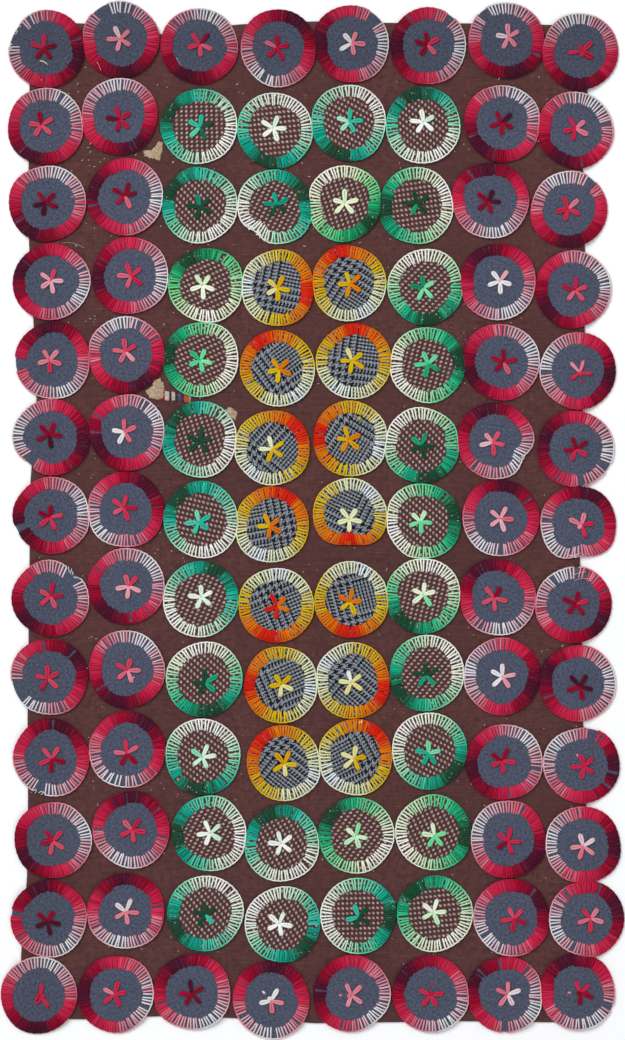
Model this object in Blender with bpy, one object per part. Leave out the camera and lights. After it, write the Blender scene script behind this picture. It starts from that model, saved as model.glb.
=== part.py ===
"""A penny rug: thirteen rows of eight round wool pennies, sewn on a brown cloth that they overhang all round.

Units are metres, +Z up. The rug lies flat on Z = 0 with the origin under its middle, its rows run along X and
its top row is at +Y. Places in the tables are millimetres to the right of and down from the rug's top left
corner, and in_rug() turns them into metres. An empty named rug carries every piece to its place."""

import math

import bmesh
import bpy
import numpy as np

# Driving dimensions
MM = 0.001
CLOTH_THICK = 0.0020
PENNY_THICK = 0.0022
LAYER_GAP = 0.0003
ROWS_OF_PENNIES = 13
COLUMNS_OF_PENNIES = 8

# An outline has this many corners, and pennies that meet keep this much room between their rims
OUTLINE_CORNERS = 26
RIM_GAP = 0.0005
NECK_HALF_WIDTH = 0.0050
NEIGHBOUR_REACH = 0.095

# A neighbour presses only on the part of the rim that faces it, where the cosine of the angle is over this
FACING = 0.3

# Hand-cut edges: the share of the radius by which a rim wanders, for two to six waves round the penny, each
# wave at some part of its full size
CUT_WAVES = (2, 3, 4, 5, 6)
CUT_SHARES = (0.020, 0.015, 0.012, 0.010, 0.007)
LEAST_WAVE, FULL_WAVE = 0.3, 1.0
CUT_SEED = 13

# Where the pennies' middles lie, in millimetres: one line for each row, one value for each penny in it
ACROSS = (
    (46.5, 120.0, 199.0, 278.5, 351.0, 428.0, 506.5, 580.0),
    (45.5, 119.0, 199.0, 275.0, 348.5, 423.0, 502.5, 575.0),
    (47.0, 125.0, 199.5, 275.0, 344.0, 416.0, 490.0, 569.0),
    (51.0, 130.0, 206.5, 277.5, 348.5, 425.5, 497.5, 573.0),
    (52.5, 126.0, 200.5, 277.5, 354.0, 427.0, 501.0, 578.0),
    (51.0, 127.0, 199.5, 272.0, 350.5, 421.5, 495.0, 575.5),
    (51.5, 125.5, 201.0, 271.5, 350.0, 423.0, 500.5, 578.0),
    (50.5, 126.0, 200.5, 276.0, 351.5, 422.5, 497.5, 573.5),
    (49.0, 126.5, 204.0, 281.0, 352.5, 426.5, 501.5, 577.5),
    (51.0, 127.0, 202.5, 284.0, 355.0, 429.0, 504.0, 581.5),
    (52.5, 131.0, 209.5, 281.5, 356.0, 433.5, 508.0, 583.0),
    (48.5, 125.5, 205.0, 282.5, 358.0, 434.5, 511.5, 586.5),
    (38.5, 115.5, 192.0, 271.0, 351.5, 431.0, 505.0, 577.5),
)
DOWN = (
    (49.0, 40.0, 46.0, 48.0, 43.5, 46.0, 40.5, 51.5),
    (126.5, 116.5, 126.5, 130.5, 123.0, 125.5, 123.5, 130.0),
    (203.5, 197.0, 205.5, 207.5, 203.5, 206.0, 200.5, 209.5),
    (282.0, 276.0, 285.5, 288.0, 283.5, 287.0, 282.0, 289.5),
    (360.5, 355.0, 359.5, 368.5, 361.5, 365.0, 362.0, 371.0),
    (437.5, 432.5, 439.5, 448.0, 439.0, 445.5, 441.0, 449.0),
    (515.5, 510.0, 520.0, 525.0, 516.5, 521.5, 518.0, 525.0),
    (598.5, 586.5, 599.5, 605.5, 600.0, 596.0, 597.5, 605.0),
    (677.0, 669.5, 679.5, 685.0, 681.0, 673.5, 676.5, 683.5),
    (758.0, 750.0, 757.0, 763.5, 757.5, 751.0, 762.5, 765.0),
    (840.5, 830.0, 834.0, 844.0, 835.5, 833.0, 839.5, 845.5),
    (919.0, 911.5, 913.5, 924.5, 916.0, 914.0, 918.0, 919.5),
    (995.5, 994.5, 992.5, 999.5, 994.0, 994.5, 995.0, 992.0),
)

# The brown cloth's hand-cut edges, in millimetres: its left and right edge under each row but the last, and
# its top and bottom edge to the right of each column
SIDE_FIELDS = ("left", "right")
SIDES = (
    (29.0, 588.0),
    (28.0, 583.0),
    (28.5, 585.0),
    (33.0, 585.0),
    (36.0, 583.0),
    (30.0, 581.0),
    (29.0, 580.0),
    (28.0, 582.0),
    (27.0, 583.0),
    (27.5, 586.0),
    (26.5, 588.0),
    (20.5, 592.0),
)
END_FIELDS = ("top", "bottom")
ENDS = (
    (23.0, 1020.0),
    (34.0, 1017.0),
    (24.0, 1019.0),
    (21.0, 1024.0),
    (22.5, 1023.0),
    (23.0, 1022.0),
    (24.5, 1023.0),
    (24.5, 1023.0),
)

# Rims that are turned under or worn away, or with a depth below zero pulled out: where, at which clock hour,
# how deep in millimetres, and how far to each side in degrees
DEGREES_AN_HOUR = 30.0
DENT_FIELDS = ("row", "column", "hour", "depth", "half_width")
DENTS = (
    (1, 2, 12.0, -1.4, 40.0),
    (3, 4, 7.3, 8.0, 16.0),
    (6, 1, 7.4, 4.0, 14.0),
    (6, 7, 4.0, 6.0, 14.0),
    (7, 5, 6.0, 10.5, 36.0),
    (7, 8, 4.1, -2.5, 12.0),
    (7, 8, 5.9, 8.0, 24.0),
    (8, 1, 1.4, 3.5, 20.0),
    (10, 8, 11.5, 2.5, 18.0),
    (12, 8, 6.0, 2.0, 30.0),
    (13, 4, 6.0, -1.8, 45.0),
)

# The cloths: base colour, roughness, and the radius that pennies of that cloth are cut to
CLOTHS = {
    "brown_backing": {"colour": (0.082, 0.040, 0.038), "roughness": 0.96},
    "slate_wool": {"colour": (0.078, 0.092, 0.130), "roughness": 0.95, "radius": 0.0386},
    "dotted_brown": {"colour": (0.105, 0.062, 0.056), "roughness": 0.93, "radius": 0.0381},
    "navy_check": {"colour": (0.130, 0.150, 0.200), "roughness": 0.93, "radius": 0.0379},
}
SHARP_EDGE = math.radians(40.0)


def in_rug(across, down):
    """The place in metres of a point given in millimetres from the rug's top left corner."""
    return np.array((across * MM, -down * MM))


def cloth_of(row, column):
    """The border is slate wool two pennies deep at the sides and one at the ends, then dots, then checks."""
    if row in (1, ROWS_OF_PENNIES) or column in (1, 2, 7, 8):
        return "slate_wool"
    if row in (2, 3, 11, 12) or column in (3, 6):
        return "dotted_brown"
    return "navy_check"


def groups_in(row):
    """The columns of each group of pennies in a row that are caught together at the rim."""
    if cloth_of(row, 4) == "navy_check":
        return ((1, 2), (3,), (4, 5), (6,), (7, 8))
    return ((1, 2), (3, 4), (5, 6), (7, 8))


def centres():
    """The middle of every penny, by row and column."""
    return {
        (row, column): in_rug(across, down)
        for row, values in enumerate(zip(ACROSS, DOWN), start=1)
        for column, (across, down) in enumerate(zip(*values), start=1)
    }


def rim_radii(place, angles, middles):
    """The distance from a penny's middle to its rim at each angle: a hand-cut circle, dented where it is
    worn, and pressed flat along the line half way to each neighbour that it would reach."""
    row, column = place
    shake = np.random.default_rng((CUT_SEED, row, column))
    radius = CLOTHS[cloth_of(row, column)]["radius"]
    wander = np.zeros_like(angles)
    for waves, share in zip(CUT_WAVES, CUT_SHARES):
        size, phase = shake.uniform(LEAST_WAVE, FULL_WAVE), shake.uniform(0.0, 2 * math.pi)
        wander += share * size * np.cos(waves * angles + phase)
    radii = radius * (1.0 + wander)
    for dent in (dict(zip(DENT_FIELDS, values)) for values in DENTS):
        if (dent["row"], dent["column"]) == place:
            off = np.degrees(angles) - (90.0 - DEGREES_AN_HOUR * dent["hour"])
            off = (off + 180.0) % 360.0 - 180.0
            radii -= dent["depth"] * MM * np.exp(-((off / dent["half_width"]) ** 2))
    for other, at in middles.items():
        step = at - middles[place]
        away = math.hypot(*step)
        if other == place or away > NEIGHBOUR_REACH:
            continue
        towards = np.cos(angles - math.atan2(step[1], step[0]))
        room = (away - RIM_GAP) / 2 / np.maximum(towards, FACING)
        radii = np.where(towards > FACING, np.minimum(radii, room), radii)
    return radii


def arc_of(place, middles, skip_towards=None):
    """A penny's rim as points, anticlockwise. With skip_towards the rim starts and ends at the neck that
    joins it to that other penny."""
    start, span, corners = 0.0, 2 * math.pi, OUTLINE_CORNERS
    closed = skip_towards is None
    if not closed:
        step = middles[skip_towards] - middles[place]
        half = math.asin(2 * NECK_HALF_WIDTH / math.hypot(*step))
        start = math.atan2(step[1], step[0]) + half
        span = 2 * math.pi - 2 * half
    angles = start + span * np.arange(corners) / (corners if closed else corners - 1)
    radii = rim_radii(place, angles, middles)
    return middles[place] + radii[:, None] * np.stack([np.cos(angles), np.sin(angles)], axis=1)


def outline_of(group, middles):
    """The outline of one penny, or of two caught together by a short neck."""
    if len(group) == 1:
        return arc_of(group[0], middles)
    left, right = group
    return np.concatenate(
        [arc_of(left, middles, skip_towards=right), arc_of(right, middles, skip_towards=left)]
    )


def backing_outline():
    """The brown cloth's hand-cut edge, anticlockwise from its top left corner."""
    sides = [dict(zip(SIDE_FIELDS, values)) for values in SIDES]
    ends = [dict(zip(END_FIELDS, values)) for values in ENDS]
    heights = [sum(line) / len(line) for line in DOWN]
    gaps = [(above + below) / 2 for above, below in zip(heights, heights[1:])]
    left = [(side["left"], down) for side, down in zip(sides, gaps)]
    right = [(side["right"], down) for side, down in zip(sides, gaps)]
    between = [(here + after) / 2 for here, after in zip(ACROSS[0], ACROSS[0][1:])]
    top = [(at, end["top"]) for at, end in zip(between, ends)]
    bottom = [(at, end["bottom"]) for at, end in zip(between, ends)]
    corners = {
        "top_left": (left[0][0], top[0][1]),
        "bottom_left": (left[-1][0], bottom[0][1]),
        "bottom_right": (right[-1][0], ends[-1]["bottom"]),
        "top_right": (right[0][0], ends[-1]["top"]),
    }
    path = [corners["top_left"], *left, corners["bottom_left"], *bottom]
    path += [corners["bottom_right"], *reversed(right), corners["top_right"], *reversed(top)]
    return np.array([in_rug(*point) for point in path])


def cloth_material(name):
    """A matt cloth of the colour and roughness in the table."""
    material = bpy.data.materials.new(name)
    material.use_nodes = True
    shader = material.node_tree.nodes["Principled BSDF"]
    shader.inputs["Base Color"].default_value = (*CLOTHS[name]["colour"], 1.0)
    shader.inputs["Roughness"].default_value = CLOTHS[name]["roughness"]
    shader.inputs["Metallic"].default_value = 0.0
    return material


def cut_piece(name, outline, underside, thickness, material, parent):
    """A flat piece of cloth cut to an outline: one face, extruded upwards from its underside."""
    middle = (outline.min(axis=0) + outline.max(axis=0)) / 2
    shape = bmesh.new()
    corners = [shape.verts.new((x, y, 0.0)) for x, y in outline - middle]
    face = shape.faces.new(corners)
    raised = bmesh.ops.extrude_face_region(shape, geom=[face])
    lifted = [item for item in raised["geom"] if isinstance(item, bmesh.types.BMVert)]
    bmesh.ops.translate(shape, verts=lifted, vec=(0.0, 0.0, thickness))
    bmesh.ops.recalc_face_normals(shape, faces=shape.faces)
    mesh = bpy.data.meshes.new(name)
    shape.to_mesh(mesh)
    shape.free()
    mesh.materials.append(material)
    mesh.shade_smooth()
    mesh.set_sharp_from_angle(angle=SHARP_EDGE)
    piece = bpy.data.objects.new(name, mesh)
    bpy.context.scene.collection.objects.link(piece)
    piece.parent = parent
    piece.location = (middle[0], middle[1], underside)
    return piece


def main():
    for old in list(bpy.data.objects):
        bpy.data.objects.remove(old, do_unlink=True)

    cloths = {name: cloth_material(name) for name in CLOTHS}

    middles = centres()
    pennies = {}
    for row in range(1, ROWS_OF_PENNIES + 1):
        for columns in groups_in(row):
            name = f"pennies_r{row:02d}_c" + "".join(str(column) for column in columns)
            outline = outline_of([(row, column) for column in columns], middles)
            pennies[name] = (outline, cloth_of(row, columns[0]))

    everything = np.concatenate([outline for outline, _ in pennies.values()])
    middle = (everything.min(axis=0) + everything.max(axis=0)) / 2
    rug = bpy.data.objects.new("rug", None)
    rug.location = (-middle[0], -middle[1], 0.0)
    bpy.context.scene.collection.objects.link(rug)

    cut_piece("backing", backing_outline(), 0.0, CLOTH_THICK, cloths["brown_backing"], rug)
    for name, (outline, cloth) in pennies.items():
        cut_piece(name, outline, CLOTH_THICK + LAYER_GAP, PENNY_THICK, cloths[cloth], rug)


main()
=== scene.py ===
# %% [markdown]
# A penny rug is made of wool circles, cut round a coin or a saucer. Each one is edged with blanket stitch,
# gets a small star of loop stitches in its middle, and is sewn to a brown cloth with its neighbours rim to
# rim. Here the flat solids of the rug are loaded first, because they say where each penny lies and how its
# rim was cut. Every finer surface below is worked out from them, so nothing has to be fitted afterwards.

# %% Load the plain rug
import math

import bpy
import numpy as np
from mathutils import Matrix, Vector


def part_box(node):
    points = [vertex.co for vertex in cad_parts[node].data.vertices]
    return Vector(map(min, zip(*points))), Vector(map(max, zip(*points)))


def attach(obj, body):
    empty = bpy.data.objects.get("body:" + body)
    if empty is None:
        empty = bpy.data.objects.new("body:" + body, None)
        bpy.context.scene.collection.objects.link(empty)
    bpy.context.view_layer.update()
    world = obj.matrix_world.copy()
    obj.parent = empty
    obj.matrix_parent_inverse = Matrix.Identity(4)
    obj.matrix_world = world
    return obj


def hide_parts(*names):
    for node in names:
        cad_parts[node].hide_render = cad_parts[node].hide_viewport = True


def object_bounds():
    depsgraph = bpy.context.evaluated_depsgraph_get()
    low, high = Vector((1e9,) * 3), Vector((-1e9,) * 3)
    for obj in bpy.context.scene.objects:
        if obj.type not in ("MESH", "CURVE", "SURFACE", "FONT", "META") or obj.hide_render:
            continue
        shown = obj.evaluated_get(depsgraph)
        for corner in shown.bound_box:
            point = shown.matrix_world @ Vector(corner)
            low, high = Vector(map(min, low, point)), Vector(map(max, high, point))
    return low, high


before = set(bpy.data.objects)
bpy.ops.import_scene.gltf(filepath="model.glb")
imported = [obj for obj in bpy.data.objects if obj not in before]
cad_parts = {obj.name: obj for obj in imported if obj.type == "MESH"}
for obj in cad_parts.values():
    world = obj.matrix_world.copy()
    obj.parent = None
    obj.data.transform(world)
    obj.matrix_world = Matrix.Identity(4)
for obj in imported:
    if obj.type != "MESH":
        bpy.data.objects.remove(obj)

solid_low, solid_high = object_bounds()
MM = 0.001
TURN = 2 * math.pi
print("the plain rug reaches from", list(solid_low), "to", list(solid_high))

# %% [markdown]
# The camera hangs straight above the rug, as the real one was photographed, so that rims and stars aren't
# slanted. A long lens from far off keeps the far side of each stitch from leaning. The distance follows
# from the picture: it is 625 by 1040 dots, and one dot covers one millimetre of rug.

# %% Hang the camera over the rug
PICTURE_HIGH = 1040
LENS = 85.0
SENSOR = 36.0
NEAREST_SEEN, FARTHEST_SEEN = 0.1, 20.0


def hang_camera():
    """Distance: half the covered length over the slope of the lens's half angle."""
    lens = bpy.data.cameras.new("camera")
    lens.lens, lens.sensor_width = LENS, SENSOR
    lens.clip_start, lens.clip_end = NEAREST_SEEN, FARTHEST_SEEN
    camera = bpy.data.objects.new("camera", lens)
    bpy.context.scene.collection.objects.link(camera)
    slope = SENSOR / 2 / LENS
    camera.location = (0.0, 0.0, solid_high.z + PICTURE_HIGH * MM / 2 / slope)
    bpy.context.scene.camera = camera
    return camera


print("camera at", list(hang_camera().location))

# %% [markdown]
# Soft daylight from the upper left makes each penny throw a narrow shadow below and to its right. One large
# panel gives that direction, a second one opposite keeps the shadows open, and an even pale world lights
# the rest. The floor is plain and nearly white. Colours are shown as they are dyed, without a film curve
# that would grey them.

# %% Light the rug and lay the floor
PANELS = {
    "key_panel": {"at": (-2.1, 2.4, 3.7), "side": 2.9, "watts": 176.0},
    "fill_panel": {"at": (2.3, -2.3, 3.4), "side": 3.6, "watts": 48.0},
}
SKY = (0.94, 0.97, 1.0)
SKY_STRENGTH = 0.49
FLOOR_SIDE = 8.0
FLOOR_GREY = 0.93
FLOOR_ROUGHNESS = 0.9


def light_up():
    """A panel faces the middle of the rug: its line of sight is minus its own place."""
    for name, panel in PANELS.items():
        lamp = bpy.data.lights.new(name, "AREA")
        lamp.size, lamp.energy = panel["side"], panel["watts"]
        holder = bpy.data.objects.new(name, lamp)
        bpy.context.scene.collection.objects.link(holder)
        holder.location = panel["at"]
        holder.rotation_euler = (-holder.location).to_track_quat("-Z", "Y").to_euler()
    world = bpy.data.worlds.new("pale_room")
    world.use_nodes = True
    sky = world.node_tree.nodes["Background"].inputs
    sky["Color"].default_value = (*SKY, 1.0)
    sky["Strength"].default_value = SKY_STRENGTH
    bpy.context.scene.world = world
    bpy.context.scene.view_settings.view_transform = "Standard"


def lay_floor():
    """A square, its corners half a side out from the middle both ways."""
    half = FLOOR_SIDE / 2
    corners = [(-half, -half, 0), (half, -half, 0), (half, half, 0), (-half, half, 0)]
    mesh = bpy.data.meshes.new("floor")
    mesh.from_pydata(corners, [], [(0, 1, 2, 3)])
    paint = bpy.data.materials.new("floor")
    paint.use_nodes = True
    shader = paint.node_tree.nodes["Principled BSDF"]
    shader.inputs["Base Color"].default_value = (FLOOR_GREY, FLOOR_GREY, FLOOR_GREY, 1.0)
    shader.inputs["Roughness"].default_value = FLOOR_ROUGHNESS
    mesh.materials.append(paint)
    floor = bpy.data.objects.new("floor", mesh)
    bpy.context.scene.collection.objects.link(floor)


light_up()
lay_floor()
print("lit by", " and ".join(PANELS), "over a floor of", FLOOR_SIDE, "m")

# %% [markdown]
# The plain solids hold every cut edge as a ring of corners. A penny's rim is easiest to use as a distance
# from its middle for each direction, because stitches are spaced by direction too. Some solids hold two
# pennies that are caught together, so their corners are first dealt out to the nearer of two middles. The
# corners of a ring are joined, and only the slow waves of that line are kept, as scissors in thick wool
# would cut it.

# %% Read the cut edges from the solids
RIM_STEPS = 360
SHARPEST_WAVE = 13.0
SMALLEST_STEP = 1e-5
FACE_DEPTH = MM / 2
DEALS = 3


def top_corners(node):
    """The corners of a solid's upper face, once each, as rows of x and y."""
    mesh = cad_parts[node].data
    points = np.empty(len(mesh.vertices) * 3, np.float32)
    mesh.vertices.foreach_get("co", points)
    points = points.reshape(-1, 3)
    upper = points[points[:, 2] > points[:, 2].max() - FACE_DEPTH, :2]
    return np.unique(np.round(upper / SMALLEST_STEP) * SMALLEST_STEP, axis=0)


def middle_of(points):
    """The middle (a, b) of the circle nearest to the corners: for each of them x squared plus y squared
    comes close to 2ax + 2by + c."""
    table = np.column_stack([2 * points, np.ones(len(points))])
    return np.linalg.lstsq(table, (points**2).sum(axis=1), rcond=None)[0][:2]


def deal_out(points, count):
    """Each corner belongs to the nearest of the middles, which are then taken again from their own
    corners."""
    low, high = points.min(axis=0), points.max(axis=0)
    shares = (np.arange(count) + 0.5) / count
    half_way_up = np.full(count, (low[1] + high[1]) / 2)
    middles = np.stack([low[0] + shares * (high[0] - low[0]), half_way_up], axis=1)
    for _ in range(DEALS):
        nearest = np.linalg.norm(points[:, None] - middles, axis=2).argmin(axis=1)
        middles = np.array([middle_of(points[nearest == k]) for k in range(count)])
    return [points[nearest == k] for k in range(count)]


def directions(steps):
    """Evenly spaced directions of one round, counted against the clock from the right."""
    return TURN * np.arange(steps) / steps


def smooth_rim(points):
    """Middle and rim: the corners' distances are read as a wave round the circle, and waves above the
    sharpest one fade out as a bell curve."""
    middle = middle_of(points)
    away = points - middle
    angles, distances = np.arctan2(away[:, 1], away[:, 0]), np.hypot(away[:, 0], away[:, 1])
    order = np.argsort(angles)
    ring = np.interp(directions(RIM_STEPS), angles[order], distances[order], period=TURN)
    waves = np.fft.rfft(ring)
    waves *= np.exp(-((np.arange(len(waves)) / SHARPEST_WAVE) ** 2))
    return middle, np.fft.irfft(waves, RIM_STEPS)


pennies = {}
for node in sorted(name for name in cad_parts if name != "backing"):
    _, row, columns = node.split("_")
    row, columns = int(row[1:]), [int(column) for column in columns[1:]]
    for column, points in zip(columns, deal_out(top_corners(node), len(columns))):
        middle, rim = smooth_rim(points)
        pennies[row, column] = {"node": node, "middle": middle, "rim": rim}

ROWS, COLUMNS = max(row for row, _ in pennies), max(column for _, column in pennies)
mean_radius = float(np.mean([penny["rim"].mean() for penny in pennies.values()]))
print(len(pennies), "pennies,", round(mean_radius / MM, 1), "mm from middle to rim")

# %% [markdown]
# Three small helpers change between places on the rug and places on a penny. They are used for cloth,
# stitches, stars and lint alike, so each of these needs to know only how far out it lies and in which
# direction.

# %% Find places on a penny
def rim_at(penny, angles):
    """How far the rim is from the penny's middle in these directions."""
    return np.interp(angles, directions(RIM_STEPS), penny["rim"], period=TURN)


def around(middle, away, angles):
    """x is the middle's, plus the distance times the cosine of the direction, and y goes with the sine."""
    return middle[0] + away * np.cos(angles), middle[1] + away * np.sin(angles)


def seen_from(middle, x, y):
    """The distance and the direction of points from a middle."""
    across, up = x - middle[0], y - middle[1]
    return np.hypot(across, up), np.arctan2(up, across)


print("the first rim is", round(float(rim_at(pennies[1, 1], 0.0)) / MM, 1), "mm out on its right")

# %% [markdown]
# The brown cloth is a rectangle cut by hand. Its four edges are read from its solid in the same way, and a
# grid is stretched between them: a point's share across and its share down pick its place between opposite
# edges. Where a penny hangs over the edge, its wool sinks to the floor, so every upper piece asks the same
# function how far down.

# %% Read the brown cloth's edges
DROOP_WIDTH = 0.016
GAP_UNDER_RIM = 0.0004
LONE_PENNY = "pennies_r07_c6"


def cloth_edges():
    """The ring of corners is parted at the four that reach farthest slantwise. An edge is a list of
    corners: left and right by height, bottom and top by place across."""
    points = top_corners("backing")
    away = points - middle_of(points)
    ring = points[np.argsort(np.arctan2(away[:, 1], away[:, 0]))]
    slants = {"bl": (-1, -1), "br": (1, -1), "tr": (1, 1), "tl": (-1, 1)}
    corner = {name: int((ring @ np.array(slant, float)).argmax()) for name, slant in slants.items()}

    def between(first, last):
        steps = (corner[last] - corner[first]) % len(ring)
        return ring[(corner[first] + np.arange(steps + 1)) % len(ring)]

    return {
        "bottom": between("bl", "br"),
        "right": between("br", "tr"),
        "top": between("tr", "tl")[::-1],
        "left": between("tl", "bl")[::-1],
    }


EDGES = cloth_edges()
CLOTH_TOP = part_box("backing")[1].z
WOOL_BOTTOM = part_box(LONE_PENNY)[0].z
WOOL_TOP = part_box(LONE_PENNY)[1].z


def edge_x(side, y):
    """Where the left or right edge is at these heights."""
    return np.interp(y, EDGES[side][:, 1], EDGES[side][:, 0])


def edge_y(side, x):
    """Where the bottom or top edge is at these places across."""
    return np.interp(x, EDGES[side][:, 0], EDGES[side][:, 1])


def sink(x, y):
    """How far down a point lies because the brown cloth has ended under it: nothing over the cloth, then a
    smooth step to nearly the cloth's thickness a short way past its edge."""
    past = np.maximum.reduce([
        edge_x("left", y) - x, x - edge_x("right", y), edge_y("bottom", x) - y, y - edge_y("top", x),
    ])
    share = np.clip(past / DROOP_WIDTH, 0.0, 1.0)
    return -(WOOL_BOTTOM - GAP_UNDER_RIM) * share * share * (3 - 2 * share)


print("brown cloth", {side: len(points) for side, points in EDGES.items()}, "corners on its edges")

# %% [markdown]
# Meshes are made from whole arrays. One helper puts points and faces into a mesh, with named maps for
# patterns that have to follow the cloth or the thread, and named marks such as how dark the dye is at each
# point. Every piece rides on the rug's one body, so the helper sees to that too.

# %% Put arrays into a mesh
OWN_MAP = "OFBake"


def put_together(name, points, faces, material, maps, marks=None):
    """A mesh at the origin. Faces come as arrays of corner numbers, one array for each number of sides, and
    a map gives two numbers for each face corner in the same order."""
    mesh = bpy.data.meshes.new(name)
    corners = np.concatenate([part.ravel() for part in faces]).astype(np.int32)
    sides = np.concatenate([np.full(len(part), part.shape[1]) for part in faces])
    starts = np.concatenate([[0], np.cumsum(sides)[:-1]]).astype(np.int32)
    mesh.vertices.add(len(points))
    mesh.loops.add(len(corners))
    mesh.polygons.add(len(sides))
    mesh.vertices.foreach_set("co", np.ascontiguousarray(points, np.float32).ravel())
    mesh.loops.foreach_set("vertex_index", corners)
    mesh.polygons.foreach_set("loop_start", starts)
    mesh.update(calc_edges=True)
    for map_name, places in maps.items():
        layer = mesh.uv_layers.new(name=map_name)
        layer.uv.foreach_set("vector", np.ascontiguousarray(places, np.float32).ravel())
    for mark, values in (marks or {}).items():
        layer = mesh.attributes.new(mark, "FLOAT", "POINT")
        layer.data.foreach_set("value", np.ascontiguousarray(values, np.float32))
    mesh.materials.append(material)
    mesh.shade_smooth()
    mesh.validate()
    piece = bpy.data.objects.new(name, mesh)
    bpy.context.scene.collection.objects.link(piece)
    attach(piece, "root")
    return piece


print("each piece's own map is called", OWN_MAP)

# %% [markdown]
# A penny is a disc that isn't quite round. It could be a cylinder with bevelled edges, but its rim has to
# follow the cut edge. So a profile, half a slice through the wool, is carried round the outline and
# stretched to each distance. A flat map of the disc keeps the side that shows large and puts the hidden
# underside small into a corner.

# %% Carry a profile round an outline
# Share of the way out to the rim, and height above the wool's underside as a share of its thickness
DISC_PROFILE = np.array([
    (0.00, 1.06), (0.24, 1.06), (0.46, 1.04), (0.64, 0.99), (0.74, 0.95), (0.86, 0.95), (0.945, 0.93),
    (0.982, 0.80), (1.00, 0.50), (0.985, 0.20), (0.945, 0.04), (0.50, 0.00), (0.00, 0.00),
])
UPPER_PROFILE = DISC_PROFILE[:8]
DISC_STEPS = 60
TOP_MAP_RADIUS, BOTTOM_MAP_RADIUS = 0.44, 0.06
BOTTOM_MAP_PLACE = 1.1


def disc(outline, profile, thickness, underside):
    """Point (k, a) is the middle, plus the outline's distance in direction a times the profile's share k,
    at the profile's height. Both ends of the profile close in a single point."""
    middle, radii = outline
    inner = profile[1:-1]
    x, y = around(middle, inner[:, 0][:, None] * radii, directions(len(radii)))
    z = np.broadcast_to(underside + thickness * inner[:, 1][:, None], x.shape)
    rings, steps = x.shape
    points = np.stack([x, y, z], axis=2).reshape(-1, 3)
    poles = [(*middle, underside + thickness * height) for height in (profile[0, 1], profile[-1, 1])]
    points = np.concatenate([points, poles])
    ring, step = np.meshgrid(np.arange(rings - 1), np.arange(steps), indexing="ij")
    after = (step + 1) % steps
    quads = np.stack([
        ring * steps + step, (ring + 1) * steps + step, (ring + 1) * steps + after, ring * steps + after,
    ], axis=2).reshape(-1, 4)
    here = np.arange(steps)
    beside = (here + 1) % steps
    top = np.stack([np.full(steps, rings * steps), here, beside], axis=1)
    last = (rings - 1) * steps
    bottom = np.stack([np.full(steps, rings * steps + 1), last + beside, last + here], axis=1)
    return points, [quads, top, bottom]


def disc_map(points, faces, middle, reach, profile, steps):
    """Upper rings lie flat in a large circle of the map and the underside in a small one in its corner."""
    flat = (points[:, :2] - middle) / reach
    place_top = 0.5 + TOP_MAP_RADIUS * flat
    place_bottom = BOTTOM_MAP_RADIUS * BOTTOM_MAP_PLACE + BOTTOM_MAP_RADIUS * flat
    widest = int(profile[1:-1, 0].argmax())
    ring = np.concatenate([np.repeat(np.arange(len(profile) - 2), steps), [0, len(profile)]])
    below = ring > widest
    places = []
    for part in faces:
        lower = below[part].any(axis=1)
        places.append(np.where(lower[:, None, None], place_bottom[part], place_top[part]).reshape(-1, 2))
    return np.concatenate(places)


def area_of(radii):
    """The flat area of an outline: slices of half the product of two neighbours and the sine of the
    step."""
    return float(0.5 * np.sum(radii * np.roll(radii, -1)) * math.sin(TURN / len(radii)))


print("a disc has", (len(DISC_PROFILE) - 2) * DISC_STEPS + 2, "points")

# %% [markdown]
# Threads could be curves with a bevel, one object for each stitch, but a rug has thousands of stitches.
# Here a flattened round section is run along all the paths of a kind at once, and the ends are closed with
# caps. Each strand gets a cell of the map to itself.

# %% Run a section along many paths
MAP_MARGIN = 0.06
END_SPOT, END_SQUEEZE = 0.8, (0.6, 1.0)
STEEPEST = 1e-9
QUAD_CORNERS = ((0, 0), (1, 0), (1, 1), (0, 1))


def numbered(*counts):
    """Numbers of strands, spans and sides as three tables that pair each with each."""
    return np.meshgrid(*(np.arange(count) for count in counts), indexing="ij")


def strands(paths, half_width, half_height, sides, closed=False):
    """Point (n, k, a) is point k of path n, plus the half width times the cosine of a to the side, plus the
    half height times the sine of a upwards. Sides and up are square to the path, whose direction is the
    difference of the points before and after."""
    count, length = paths.shape[:2]
    if closed:
        along = np.roll(paths, -1, axis=1) - np.roll(paths, 1, axis=1)
    else:
        along = np.gradient(paths, axis=1)
    along /= np.linalg.norm(along, axis=2, keepdims=True)
    across = np.cross(along, np.array((0.0, 0.0, 1.0)))
    across /= np.maximum(np.linalg.norm(across, axis=2, keepdims=True), STEEPEST)
    up = np.cross(across, along)
    turn = directions(sides)
    wide = np.broadcast_to(half_width, (count, length))[:, :, None, None] * np.cos(turn)[:, None]
    high = np.broadcast_to(half_height, (count, length))[:, :, None, None] * np.sin(turn)[:, None]
    points = paths[:, :, None] + wide * across[:, :, None] + high * up[:, :, None]
    n, k, a = numbered(count, length if closed else length - 1, sides)

    def number(k_at, a_at):
        return (n * length + k_at % length) * sides + a_at % sides

    quads = np.stack([number(k + dk, a + da) for dk, da in QUAD_CORNERS], axis=3)
    faces = [quads.reshape(-1, 4)]
    if not closed:
        starts = (np.arange(count) * length * sides)[:, None]
        ends = starts + (length - 1) * sides
        faces += [np.concatenate([starts + np.arange(sides), ends + np.arange(sides)[::-1]])]
    return points.reshape(-1, 3), faces


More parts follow.
